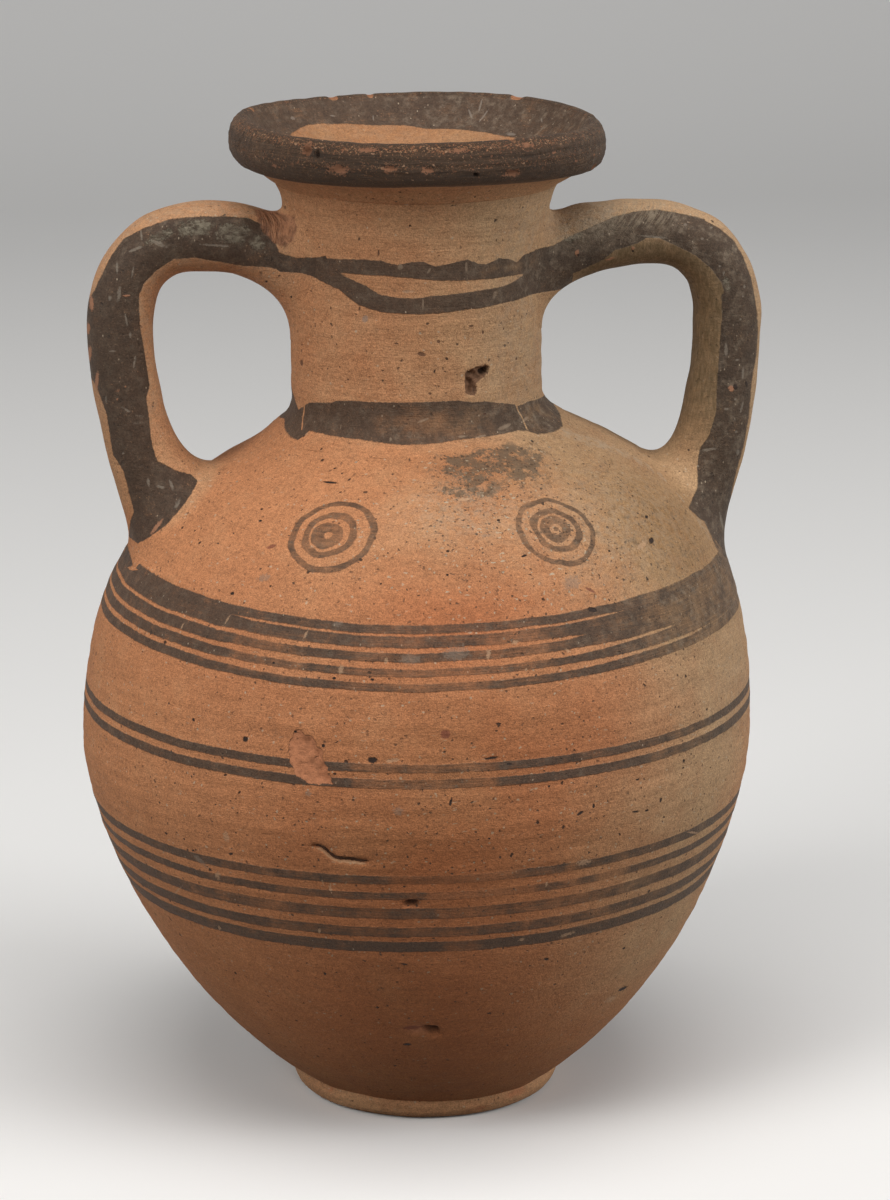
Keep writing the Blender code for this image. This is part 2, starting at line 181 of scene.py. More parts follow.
def shoulder_lift(side, height):
    """Rise of the shoulder towards the right handle: 1.5 times the sine of the azimuth, fading at
    the belly and at the neck's foot, where the right side fades higher up."""
    fade = 1 - smooth(110.5 + 4.0 * np.maximum(side, 0.0), 115.0 + 7.0 * np.maximum(side, 0.0), height)
    return 1.5 * side * smooth(88.0, 104.0, height) * fade


def turned(radius, azimuth, height, middle):
    """Places at radii and azimuths round an upright axis at X = middle."""
    turn = np.radians(azimuth)
    return np.stack(np.broadcast_arrays(radius * np.sin(turn) + middle, -radius * np.cos(turn), height), -1)


def polar(points):
    """Azimuth of places round the jar's middle, and their radius."""
    x = points[..., 0] - lean(points[..., 2])
    return np.degrees(np.arctan2(x, -points[..., 1])), np.hypot(x, points[..., 1])


def wall_point(azimuth, run, out=0.0):
    """Points of the jar's outer wall, out mm proud of it: the turned outline, with its lean, a slight
    out-of-round of sin(2a) and sin(3a), and a shoulder that is higher towards the right."""
    radius, height, normal_r, normal_z = outline_at(run)
    turn = np.radians(azimuth)
    uneven = 0.14 * np.sin(2 * turn + 0.9 + height / 40) + 0.08 * np.sin(3 * turn - height / 23)
    uneven = uneven * smooth(0.0, 12.0, np.abs(height - 114.0))
    lift = shoulder_lift(np.sin(turn), height)
    r = radius + (uneven + out) * normal_r
    z = height + (uneven + out) * normal_z + lift
    return turned(r, azimuth, z, lean(height))


def spread(*stretches):
    """Values in order, each stretch from one end up to the other at its own spacing."""
    parts = [np.linspace(a, b, max(2, round((b - a) / step)), endpoint=False) for a, b, step in stretches]
    return np.concatenate(parts)


def wrapped(azimuth):
    """Azimuth between -180 and 180."""
    return (azimuth + 180.0) % 360.0 - 180.0


def mirrored_front(azimuth):
    """Azimuth of the place on the front that a place on the back answers to."""
    turn = np.radians(azimuth)
    return np.degrees(np.arctan2(np.sin(turn), np.abs(np.cos(turn))))


def line_distance(u, v, points):
    """Distance from places to an open line: the least of those to its straight stretches."""
    nearest = np.full(np.broadcast(u, v).shape, FAR)
    for (u0, v0), (u1, v1) in zip(points, points[1:]):
        du, dv = u1 - u0, v1 - v0
        t = np.clip(((u - u0) * du + (v - v0) * dv) / (du * du + dv * dv + TINY), 0.0, 1.0)
        nearest = np.minimum(nearest, np.hypot(u - u0 - t * du, v - v0 - t * dv))
    return nearest


def edge_distance(u, v, corners):
    """Signed distance from places to a closed outline: the distance to its sides, positive inside by
    the even-odd rule."""
    corners = np.array(tuple(corners) + (corners[0],), float)
    inside = np.zeros(np.broadcast(u, v).shape, bool)
    for (u0, v0), (u1, v1) in zip(corners, corners[1:]):
        at = u0 + (v - v0) * (u1 - u0) / (TINY if v1 == v0 else v1 - v0)
        inside ^= ((v0 > v) != (v1 > v)) & (u < at)
    nearest = line_distance(u, v, corners)
    return np.where(inside, nearest, -nearest)


def local(azimuth, height, at_azimuth, at_height, radius):
    """Places as mm across and up from one place on a turned wall of that radius."""
    return np.radians(wrapped(azimuth - at_azimuth)) * radius, height - at_height


def spot(azimuth, height, at_azimuth, at_height, across, up, radius):
    """A soft round patch: exp(-d^2), with d in units of the patch's half sizes in mm."""
    u, v = local(azimuth, height, at_azimuth, at_height, radius)
    return np.exp(-((u / across) ** 2) - (v / up) ** 2)


def patches(azimuth, height, listed):
    """Sum of soft patches, each listed as its azimuth, height, half sizes across and up in mm, the
    wall's radius there, and its amount."""
    return sum(amount * spot(azimuth, height, *place) for *place, amount in listed)


def skin(name, points, loop=False, poles=False, flip=False, **fields):
    """A closed skin over a grid of points in mm: quads between neighbours, closed round each row, and
    from the last row to the first too where loop is set, or else with a fan to a point at each end
    where poles is. fields are values for its points, numbers or vectors, spread over the grid."""
    rows, across = points.shape[:2]
    flat = points.reshape(-1, 3)
    index = np.arange(rows * across).reshape(rows, across)
    beside = np.roll(index, -1, axis=1)
    first, second = (index, np.roll(index, -1, axis=0)) if loop else (index[:-1], index[1:])
    first_beside, second_beside = (
        (beside, np.roll(beside, -1, axis=0)) if loop else (beside[:-1], beside[1:])
    )
    quads = np.stack([first, second, second_beside, first_beside], -1).reshape(-1, 4)
    corners = [quads.ravel() if not flip else quads[:, ::-1].ravel()]
    sizes = [np.full(len(quads), 4)]
    if poles:
        centres = np.stack([points[0].mean(0), points[-1].mean(0)])
        tip = rows * across
        flat = np.vstack([flat, centres])
        start = np.stack([np.full(across, tip), index[0], beside[0]], -1)
        end = np.stack([np.full(across, tip + 1), beside[-1], index[-1]], -1)
        fans = np.vstack([start, end])
        corners.append(fans.ravel() if not flip else fans[:, ::-1].ravel())
        sizes.append(np.full(len(fans), 3))
    corners = np.concatenate(corners).astype(np.int32)
    sizes = np.concatenate(sizes).astype(np.int32)
    starts = np.concatenate([[0], np.cumsum(sizes)[:-1]]).astype(np.int32)
    mesh = bpy.data.meshes.new(name)
    mesh.vertices.add(len(flat))
    mesh.vertices.foreach_set("co", (flat * MM).astype(np.float32).ravel())
    mesh.loops.add(len(corners))
    mesh.loops.foreach_set("vertex_index", corners)
    mesh.polygons.add(len(sizes))
    mesh.polygons.foreach_set("loop_start", starts)
    mesh.update(calc_edges=True)
    for field, values in fields.items():
        deep = np.ndim(values) == 3
        values = values if deep else np.broadcast_to(values, (rows, across))
        values = values.reshape(rows * across, -1)
        if poles:
            values = np.vstack([values, values[:1], values[-1:]])
        layer = mesh.attributes.new(field, "FLOAT_VECTOR" if deep else "FLOAT", "POINT")
        layer.data.foreach_set("vector" if deep else "value", values.astype(np.float32).ravel())
    mesh.shade_smooth()
    mesh.set_sharp_from_angle(angle=math.radians(48.0))
    made = bpy.data.objects.new(name, mesh)
    bpy.context.scene.collection.objects.link(made)
    return made


# Where a place shows from the camera, on the plane in front of the handles, for their paint
PAINT_PLANE = -6.0


def camera_place():
    """The camera's place in mm."""
    turn = math.radians(CAMERA_AZIMUTH)
    return np.array([CAMERA_DISTANCE * math.sin(turn), -CAMERA_DISTANCE * math.cos(turn), CAMERA_HEIGHT])


def seen_on_plane(points):
    """X and Z at which places show on the paint plane: along the line from the camera through each
    place, or through its mirror image in front where it lies behind the handles' middle plane."""
    eye = camera_place()
    front = points.copy()
    front[..., 1] = -np.abs(front[..., 1])
    share = (PAINT_PLANE - eye[1]) / (front[..., 1] - eye[1])
    hit = eye + share[..., None] * (front - eye)
    return hit[..., 0], hit[..., 2]


LEFT_PAINT = (
    (-23.8, 144.2), (-24.8, 146.6), (-25.9, 148.6), (-28.7, 150), (-31.8, 150.3), (-37.2, 150.4),
    (-41.5, 150.1), (-45.4, 148.8), (-48.9, 147.1), (-50.9, 144.4), (-52.9, 140.5), (-53.8, 138.6),
    (-55.6, 136.2), (-56.2, 131.5), (-56, 126.7), (-53.7, 123.1), (-52.2, 118.6), (-51.3, 111.8),
    (-49.6, 108.9), (-48.7, 104.8), (-48, 102), (-48.6, 100.8), (-49, 97.9), (-47.5, 96.7), (-46.1, 97.4),
    (-43.1, 99.4), (-40.2, 102.6), (-38.6, 104.9), (-37.5, 106.9), (-38.6, 108), (-41.3, 108.9),
    (-44.1, 110.4), (-45, 113.6), (-45.3, 117.7), (-45.7, 120.9), (-45.1, 122.9), (-45.8, 128.1),
    (-46.5, 132.9), (-46.6, 137.6), (-45.8, 139.6), (-43.6, 141.9), (-40.8, 143.6), (-37.3, 143.7),
    (-34.2, 143.1), (-29.9, 142.2), (-25.6, 141.9), (-23.8, 141.5), (-20.1, 140.8), (-14, 139.6),
    (-14, 143.9), (-20.1, 143),
)
RIGHT_PAINT = (
    (14.2, 142.6), (17, 142.4), (19.4, 143.7), (22.2, 145.2), (26.9, 147.3), (30.9, 149), (34.1, 149.7),
    (37.7, 150), (40.9, 149.4), (44.9, 148.5), (48.1, 146.7), (50.6, 144.6), (52.2, 141.8), (53.5, 138.5),
    (54.2, 135.3), (54.7, 132.1), (54.9, 128.8), (54.6, 124.8), (54, 121.1), (53.6, 115), (52.8, 110.1),
    (51.7, 106.1), (50.9, 102), (50.6, 99.1), (50.2, 96.2), (48.8, 96.2), (47.4, 96.7), (45.7, 98),
    (43.7, 99.9), (45.2, 103.4), (45.1, 107.9), (45.5, 109.9), (47.1, 112.3), (48.1, 116), (48.2, 121.3),
    (48.5, 126.5), (48.8, 132.2), (48.7, 135.4), (49.1, 136.2), (48.7, 137.4), (47, 139.9), (44.2, 142.3),
    (40.9, 144), (38.1, 145.3), (36.1, 145.3), (34.5, 144.4), (30.9, 143.4), (29, 141.9), (23, 139.2),
    (18.6, 137.7), (14.2, 136.6),
)
STROKE_UNDER_RIGHT = ((47, 101), (46.6, 97.2), (48.5, 93), (51, 88), (60, 86), (60, 101))
STROKE_UNDER_LEFT = ((-49.5, 97.5), (-48.3, 93), (-60, 90), (-60, 99))

# Bands painted round the neck, as heights in mm at azimuths of the front
UPPER_LINE_TOP = (
    (-90, -64.6, -54, -43.7, -31.2, -22.9, -15.6, -9.6, -4.1, 1.1, 8.5, 15.7, 21.8, 25.1, 32.4, 39.7, 44,
     49, 90),
    (142.9, 143.9, 144.4, 144.6, 145, 144.9, 144.3, 144.8, 144.9, 144.1, 144.5, 145, 144.1, 143.9, 144.7,
     144.1, 143.4, 144.4, 144.9),
)
EYE_TOP = (
    (-90, -45, -40, -33, -22, -8, 1, 14, 29, 40, 47, 53, 57, 90),
    (130, 142.3, 142.45, 142.45, 142.5, 142.2, 141.8, 141.6, 141.45, 141.4, 141.3, 141.2, 140.3, 130),
)
EYE_BOTTOM = (
    (-90, -45, -38.5, -30.2, -23.9, -16.6, -8.3, 0, 11.5, 23, 33.4, 40, 45, 49, 52, 57, 90),
    (142.3, 142.3, 141.7, 140.7, 139.45, 139.1, 138.95, 139.3, 139.55, 139.8, 139.9, 140.2, 140.6, 141,
     141.5, 142, 142),
)
LOWER_LINE_FOOT = (
    (-90, -64.6, -54.2, -43.7, -38.5, -33.3, -22.9, -12.5, 3.2, 13.6, 24, 34.5, 44.9, 55.3, 90),
    (141.2, 141.4, 140.5, 139.6, 138.4, 137.45, 136.6, 136.4, 136.45, 136.8, 136.9, 137.2, 137.2, 137.4,
     136.6),
)
BASE_BAND_TOP = (
    (-90, -80, -75, -64.6, -49, -46, -38.5, -23, -2, 11.5, 18.8, 25, 34.5, 40.7, 44.6, 45.6, 46.6, 55, 70,
     90),
    (121, 119, 118.2, 120.1, 121, 121.4, 121.8, 122, 122.2, 122.2, 121.7, 121.6, 120.9, 120.4, 120, 119.8,
     119.8, 119.9, 119, 117.6),
)
BASE_BAND_FOOT = (
    (-90, -85, -77.4, -69, -62.5, -60.5, -49, -33, -23, -12, 0, 10, 20, 30, 40, 44, 47, 57, 66, 74, 90),
    (115.6, 115.3, 114.8, 114.5, 114.4, 115.9, 115.9, 115.9, 115.7, 115.5, 115.7, 116.1, 116.1, 115.9,
     115.7, 115.2, 114.3, 113.9, 113.9, 114.5, 115.2),
)


def neck_paint(azimuth, height):
    """Signed distance in mm to the edge of the neck's two painted bands: the upper band less the
    bare eye inside it, and the band at the neck's foot less the bare line on its right."""
    front = mirrored_front(azimuth)

    def between(top, foot):
        return np.minimum(np.interp(front, *top) - height, height - np.interp(front, *foot))

    upper, eye = between(UPPER_LINE_TOP, LOWER_LINE_FOOT), between(EYE_TOP, EYE_BOTTOM)
    base = between(BASE_BAND_TOP, BASE_BAND_FOOT)
    line = 0.15 - np.abs(front - 45.4 - 0.9 * np.sin((height - 116.0) * 1.1)) * 0.36
    gap_left = 0.2 - np.abs(front + 69.3 - 4.5 * smooth(117.5, 114.9, height)) * 0.36
    base = np.minimum(base, -np.minimum(line, height - 115.2))
    base = np.minimum(base, -np.minimum(gap_left, np.minimum(119.5 - height, height - 115.6)))
    return np.maximum(np.minimum(upper, -eye), base)


# Broken places, as azimuth and height: a flake off the belly, a crack, a smear of dust, and a gouge
# in the neck. Each has a middle, as azimuth, height and the wall's radius there.
SPALL_AT = (-24.5, 72.5, 55.6)
CRACK_AT = (-19.0, 57.0, 55.7)
SMEAR_AT = (74.0, 105.0, 36.0)
GOUGE_AT = (19.5, 125.4, 20.6)
SLOT_AT = (-7.7, 48.9, 54.0)
DENT_AT = (-4.6, 23.1, 41.0)
LIP_RADIUS = 30.3
SPALL = (
    (-27.6, 76.5), (-26.3, 76.7), (-24.9, 76), (-23.6, 75), (-22.7, 73.8), (-21.8, 72), (-21.2, 70.4),
    (-20.4, 68.7), (-22.4, 68.8), (-24.2, 68.65), (-25.6, 69.2), (-26.9, 70.1), (-27.6, 71.6),
    (-28.2, 73.3), (-28, 75.2),
)
CRACK = (
    (-23.5, 58.5), (-22.4, 58.35), (-21.6, 57.85), (-21, 57.2), (-20.2, 56.7), (-19.5, 56.5), (-18.6, 56.5),
    (-17.4, 56.5), (-16, 56.3), (-14.9, 56.25),
)
SMEAR = ((62, 113.2), (70, 111), (75, 108.6), (76, 105), (74, 101.5), (72.5, 97.5))
GOUGE = (
    (25.6, 127.53), (27.8, 127.11), (28.1, 126.59), (26.5, 126.07), (25, 125.54), (22.8, 125.12),
    (20.6, 124.49), (21.4, 123.87), (20.6, 123.34), (19.5, 122.71), (17.9, 122.82), (15.5, 123.34),
    (15.2, 124.39), (15.4, 125.44), (15.2, 126.38), (16.6, 126.80), (19.1, 127.22), (22.1, 127.3),
)

# Torn patch where the left handle meets the neck, as X and Z on the paint plane
TORN = (
    (-27.9, 151.3), (-24.5, 151), (-21.3, 150.2), (-20.9, 148.2), (-21.5, 146.2), (-22.9, 145),
    (-24.4, 145.6), (-25.9, 147.2), (-27, 148.8),
)

# Small marks: azimuth, height, half width, half height in mm, and turn in degrees where they have one
DARK_PITS = (
    (-14.2, 72.9, 0.75, 0.45), (-36.1, 74.3, 0.45, 0.42), (-46.9, 75.7, 0.26, 0.26),
    (-22.4, 74.7, 0.28, 0.26), (-27.3, 76.5, 0.22, 0.2), (-1.5, 66.3, 0.2, 0.6, -12),
    (-53.2, 55.7, 0.34, 0.22), (-48.8, 55.7, 0.16, 0.2), (-47.2, 54, 0.3, 0.17, 20),
    (-39, 55, 0.4, 0.2, 15), (5.1, 72.95, 1.15, 0.2, 4), (7.9, 71.8, 0.42, 0.16, -6),
    (20.5, 62.5, 0.55, 0.25, 25), (23, 63.3, 0.22, 0.36), (14.8, 67.6, 0.18, 0.2), (43.1, 66.7, 0.28, 0.42),
    (43.1, 65.7, 0.25, 0.18), (45.1, 67.5, 0.26, 0.17), (31.7, 60.8, 0.9, 0.18, -8),
    (34.2, 60.5, 0.4, 0.18), (37.3, 61.6, 0.25, 0.42, -15), (31.9, 66.1, 0.32, 0.13),
    (17.7, 36.4, 0.45, 0.25, -15), (-45.7, 95.5, 0.34, 0.28), (-35.7, 111.1, 1.3, 0.22),
    (-49, 105.7, 0.35, 0.18), (-2.3, 99.9, 0.22, 0.17), (-15.4, 98.8, 0.18, 0.15), (11.5, 106.2, 0.28, 0.2),
    (14.3, 101.5, 0.5, 0.18, 15), (25.4, 93.3, 0.8, 0.38, -20), (51.2, 102.6, 0.5, 0.24, 10),
    (47.4, 99.85, 0.75, 0.4, 15), (34.3, 100.2, 0.22, 0.16), (-10.6, 19.9, 0.6, 0.35),
    (44.5, 24.9, 1.3, 0.5, -10), (-25.4, 34.4, 0.22, 0.32), (36.8, 34.8, 0.4, 0.25, -20),
    (-21.5, 85, 0.25, 0.2), (-32.8, 86.4, 0.2, 0.18), (-15, 85.1, 0.3, 0.18), (-8.9, 52, 0.2, 0.16),
    (-9.6, 37.4, 0.5, 0.18, -10), (4.9, 60, 0.2, 0.15), (-1.9, 102.9, 0.25, 0.15),
)
PALE_SCARS = (
    (-44.2, 100.7, 1, 0.35, -25), (-43, 101.6, 0.35, 0.6), (-11, 72.95, 1.1, 0.3, 6),
    (-39.4, 57.9, 0.6, 0.9), (-42.7, 50.5, 0.5, 0.9, -25), (-21.4, 51.4, 0.25, 1.1, 5),
    (-54.4, 45.2, 2, 0.16, 38), (-46.3, 40, 0.3, 0.7, -20), (-24.5, 43, 0.2, 0.6, -15),
    (43.9, 99.75, 1.4, 0.5, 12), (1.2, 108.9, 0.25, 0.2), (4.8, 109, 1.6, 0.42, 3),
    (4.5, 88.7, 0.42, 0.75, -15), (11.2, 86, 0.22, 0.2), (42, 23.4, 1.5, 0.7, -20),
    (55.5, 39.5, 1.8, 0.9, 10), (48, 53.4, 2, 0.18, -18), (40.1, 42.5, 0.8, 0.16, -12),
    (-20.6, 86.4, 0.5, 0.8), (-13, 88, 0.3, 0.5), (-2.9, 103.4, 0.25, 0.2), (9.3, 90.1, 0.5, 0.35, 20),
    (19.2, 88.1, 0.6, 0.25, -25), (-54.3, 89, 0.2, 0.6, -15), (-28, 91, 0.2, 0.9, -12),
    (-44.5, 91.5, 0.2, 0.9, -20), (21.2, 40.7, 1.3, 0.4, 15), (12, 41, 0.5, 0.35), (22, 53.9, 1.3, 0.6),
    (-22.5, 52, 0.15, 0.8, 10), (15.4, 51, 0.2, 0.6, -5), (18.7, 66.2, 0.3, 0.14),
)
RED_MARKS = (
    (-2.6, 76.95, 0.8, 0.75), (26, 95.9, 1, 0.22, -35), (-41.8, 102.8, 0.9, 0.4, 30),
    (-9.2, 23.6, 1.6, 0.6),
)
GREY_MARKS = (
    (22.6, 97.2, 1.6, 1, 10), (-9.8, 64.9, 0.9, 0.75), (-24.5, 67, 0.5, 0.5), (-40, 98.5, 1.3, 0.7, 15),
    (-22.5, 92.9, 0.7, 0.5), (7.3, 104.5, 0.8, 0.3), (-9, 88.2, 1.6, 0.8), (-1, 89, 2.2, 1.2),
    (-46, 52.4, 1.6, 0.5, -30),
)
NECK_PITS = (
    (-23.9, 146.2, 0.16, 0.55), (-68.7, 144.2, 0.5, 0.7), (-71.4, 126.2, 0.5, 0.5),
    (-4.6, 129.9, 0.7, 0.3, -15), (18.3, 134.1, 0.4, 0.16), (24.3, 132.9, 0.2, 0.3),
    (44.9, 127.6, 0.25, 0.22), (-33.3, 136.9, 0.16, 0.3), (-39.3, 125.2, 0.2, 0.14), (3, 131.9, 0.3, 0.25),
    (6, 127, 0.2, 0.14), (-1, 123.5, 0.25, 0.22), (-11, 119.3, 0.2, 0.15), (25, 119.5, 0.22, 0.16),
    (36, 133, 0.15, 0.2), (-16, 131.6, 0.35, 0.14),
)
NECK_SCARS = (
    (-10.8, 140.05, 1, 0.26), (-14.2, 144, 0.45, 0.5, -30), (-1.5, 143.4, 0.2, 0.6, -30),
    (15.6, 143.6, 0.22, 1.2), (15.9, 141.9, 0.14, 0.7), (-4.1, 138.1, 0.16, 0.9),
    (30.6, 138.8, 0.4, 0.7, -30), (-4.3, 119.2, 0.9, 0.22, 20), (12.3, 116.5, 0.9, 0.2),
    (20.6, 116.2, 1.1, 0.22, 5), (-18.7, 116.2, 0.2, 0.4), (-43, 117.4, 0.1, 0.4),
    (34, 116.9, 1.6, 0.35, 8), (48, 117, 1.2, 0.3, 15), (-35.4, 113.5, 0.4, 0.3),
)
NECK_GREY = ((-30.7, 135.3, 0.5, 0.7, -40),)
BODY_MARKS = {"pits": DARK_PITS, "scars": PALE_SCARS, "red_marks": RED_MARKS, "grey_marks": GREY_MARKS}
NECK_MARKS = {"pits": NECK_PITS, "scars": NECK_SCARS, "grey_marks": NECK_GREY}


def local_line(points, at_azimuth, at_height, radius):
    """A line's corners, each an azimuth and a height, as mm across and up from one place."""
    return [(math.radians(a - at_azimuth) * radius, z - at_height) for a, z in points]


def body_carving(azimuth, height):
    """Depth in mm cut into the body, the signed distance to the flake's edge, and the masks of bare
    clay and of painted shade in the deep dent, the slot and the crack."""
    u, v = local(azimuth, height, *SPALL_AT)
    broken = edge_distance(u, v, local_line(SPALL, *SPALL_AT)) + 0.12 * ripples(u, v, 5, 1.0, 3.0)
    spall = smooth(-0.1, 0.9, broken)
    scarp = spall * (0.2 + 0.42 * smooth(-3.0, 2.5, u + 0.25 * v) + 0.05 * ripples(u, v, 6, 0.9, 2.4))
    u, v = local(azimuth, height, *CRACK_AT)
    line = line_distance(u, v, local_line(CRACK, *CRACK_AT)) + 0.06 * ripples(u, v, 7, 0.8, 2.0)
    crack = 1 - smooth(0.1, 0.6, line)
    u, v = local(azimuth, height, *SLOT_AT)
    slot = 1 - smooth(0.3, 1.2, np.hypot(u / 1.6, v / 0.72))
    u, v = local(azimuth, height, *DENT_AT)
    deep = 1 - smooth(0.35, 1.1, np.hypot(u / 1.9, (v + 0.25 * u) / 1.15) + 0.12 * ripples(u, v, 8, 1.0, 2.5))
    shallow = 1 - smooth(0.3, 1.2, np.hypot((u + 2.2) / 2.4, (v - 0.2) / 1.3))
    depth = scarp + 0.6 * crack + 1.1 * slot + 1.3 * deep + 0.35 * shallow
    hollow = np.maximum(np.maximum(deep * 0.9, 0.25 * crack), slot)
    return depth, broken, shallow, hollow


def wall_offset(azimuth, run):
    """What gives the mm across and up from a mark on the wall, by the mark's azimuth and height."""

    def offset(at_azimuth, at_height):
        at_run = run_at(at_height)
        radius = np.interp(at_run, RUN, OUTLINE[:, 0])
        return np.radians(wrapped(azimuth - at_azimuth)) * radius, at_run - run

    return offset


def mark_field(shape, marks, offset):
    """Place of each point in the nearest oval mark, as a vector: across and up in half sizes of the
    mark, and 1 where all its neighbours answer to the same mark, else 0. offset gives the mm across
    and up from a mark's place."""
    nearest = np.full(shape, FAR)
    owner = np.zeros(shape, int)
    place = np.zeros(shape + (3,))
    for number, (a, b, half_wide, half_high, *turn) in enumerate(marks):
        u, v = offset(a, b)
        turn = math.radians(sum(turn))
        across = (u * math.cos(turn) + v * math.sin(turn)) / half_wide
        up = (v * math.cos(turn) - u * math.sin(turn)) / half_high
        away = np.hypot(u, v) * (1 - 1 / np.maximum(np.hypot(across, up), 1e-3))
        closer = away < nearest
        nearest = np.where(closer, away, nearest)
        owner = np.where(closer, number, owner)
        place[..., 0] = np.where(closer, across, place[..., 0])
        place[..., 1] = np.where(closer, up, place[..., 1])
    same = np.ones(shape, bool)
    padded = np.pad(np.pad(owner, ((1, 1), (0, 0)), mode="edge"), ((0, 0), (1, 1)), mode="wrap")
    for i in range(3):
        for j in range(3):
            same &= padded[i:i + shape[0], j:j + shape[1]] == owner
    place[..., 2] = same
    return place


def mark_fields(shape, kinds, offset):
    """Each kind of marks with its field."""
    return [(kind, mark_field(shape, marks, offset)) for kind, marks in kinds.items()]


def line_field(points, half_width, offset):
    """Place of each point beside an open line, as a vector: from -1 to 1 along it, the distance above
    it in half widths, negative below, and 1."""
    u, v = offset(*points[0])
    corners = [tuple(float(c) for c in line_step(points[0], p)) for p in points]
    lengths = [math.dist(a, b) for a, b in zip(corners, corners[1:])]
    nearest = np.full(np.broadcast(u, v).shape, FAR)
    place = np.zeros(nearest.shape + (3,))
    before = 0.0
    for number, ((u0, v0), (u1, v1), length) in enumerate(zip(corners, corners[1:], lengths)):
        du, dv = (u1 - u0) / length, (v1 - v0) / length
        along = (u - u0) * du + (v - v0) * dv
        above = (v - v0) * du - (u - u0) * dv
        kept = np.clip(along, 0.0, length)
        away = np.hypot(along - kept, above)
        closer = away < nearest
        nearest = np.where(closer, away, nearest)
        first, last = number == 0, number == len(lengths) - 1
        free = np.clip(along, -FAR if first else 0.0, FAR if last else length)
        place[..., 0] = np.where(closer, (before + free) / sum(lengths) * 2 - 1, place[..., 0])
        place[..., 1] = np.where(closer, above / half_width, place[..., 1])
        before += length
    place[..., 2] = 1.0
    return place


def line_step(start, point):
    """Mm across and up on the wall from one place to another, each an azimuth and a height."""
    radius = np.interp(run_at(start[1]), RUN, OUTLINE[:, 0])
    return math.radians(point[0] - start[0]) * radius, run_at(start[1]) - run_at(point[1])


# Thin places of the body's paint: from and to azimuth, from and to height, and how much thinner
THIN_BOXES = (
    (-17.5, 6, 67, 73.5, 0.42), (16, 27, 70.5, 73, 0.15), (33, 50, 67, 73.5, 0.2), (-11, 9, 51.9, 55, 0.42),
    (19, 20.5, 51.9, 55, 0.4), (-5, 13.5, 49, 51.8, 0.45), (18, 22, 49, 51.8, 0.3),
    (25.5, 31, 49, 51.8, 0.45), (-3.5, 2, 45.2, 48.8, 0.25), (-2.5, 3.5, 38.5, 42.5, 0.3),
    (2, 62, 45.2, 48.8, 0.12), (-60, -30, 45.2, 48.8, 0.12), (-42, -27, 84.5, 90.5, 0.25),
    (-22, 4, 83, 86.5, 0.2), (4, 16, 86.5, 91.5, 0.15), (25, 62, 83, 92, 0.08),
)

# Soft patches: azimuth, height, half sizes across and up in mm, the wall's radius there, and amount
THIN_RINGS = ((-28, 105, 9, 8, 38, 0.42), (24.5, 103.7, 9, 8, 38, 0.4))
THIN_NECK = (
    (-5, 118.6, 8, 2.4, 20.5, 0.3), (14, 118.5, 8, 2.4, 20.5, 0.2), (38, 143, 5, 1.5, 20.5, 0.3),
    (60, 117.5, 4, 2, 20.5, 0.35),
)
BUFF_PATCHES = (
    (66, 74, 26, 17, 55, 0.7), (34, 62, 18, 14, 55, 0.35), (2, 104.5, 17, 6.5, 37, 0.5),
    (30, 34, 16, 12, 47, 0.3), (52, 36, 18, 16, 48, 0.85), (50, 60, 15, 13, 55, 0.55),
)
FLUSH_PATCHES = (
    (1, 93.5, 13, 7.5, 50, 0.8), (17, 76, 14, 9, 55, 0.7), (-35, 90, 30, 14, 50, 0.45),
    (-6, 60, 26, 17, 55, 0.75), (-8, 24, 24, 22, 40, 0.8),
)
STAIN_PATCHES = (
    (10, 109, 12, 4.2, 33, 0.4), (3, 113.3, 3.4, 1.3, 29, 0.9), (6.5, 110.3, 3.6, 1.3, 29, 1.2),
    (12.5, 112.9, 3.6, 1.2, 29, 0.9), (23, 113.3, 4.6, 1.5, 29, 1.2), (27, 111.3, 3.2, 1.5, 29, 1.2),
    (36, 112.6, 3.4, 1.3, 29, 0.7), (48, 103, 16, 9, 40, 0.3), (52, 90, 12, 8, 50, 0.25),
)
GRIT_PATCHES = (
    (7, 103, 15, 8, 42, 1.9), (35, 98, 14, 10, 45, 0.6), (10, 111, 14, 4, 30, 0.8),
    (5, 62, 30, 10, 55, 0.5),
)
FILM_PATCHES = ((45, 103, 20, 10, 40, 0.45), (2, 108, 9, 3.5, 36, 0.55), (66, 74, 14, 12, 55, 0.35))
# Patches of painted shade, darkening the clay mostly low on the belly, at its base and under the right
# handle's root
DUSK_PATCHES = (
    (-2, 57, 30, 13, 55, 0.7), (0, 5, 60, 18, 30, 1), (-6, 31, 26, 13, 48, 0.5), (3, 76, 22, 7, 55, 0.4),
    (3, 100, 16, 7, 40, 0.25), (-55, 30, 16, 16, 45, 0.35), (56, 101, 17, 11, 40, 0.95),
    (14, 111.5, 16, 3.6, 33, 0.55), (6, 134, 8, 9, 20.5, 0.25), (180, 45, 60, 30, 50, 0.3),
)


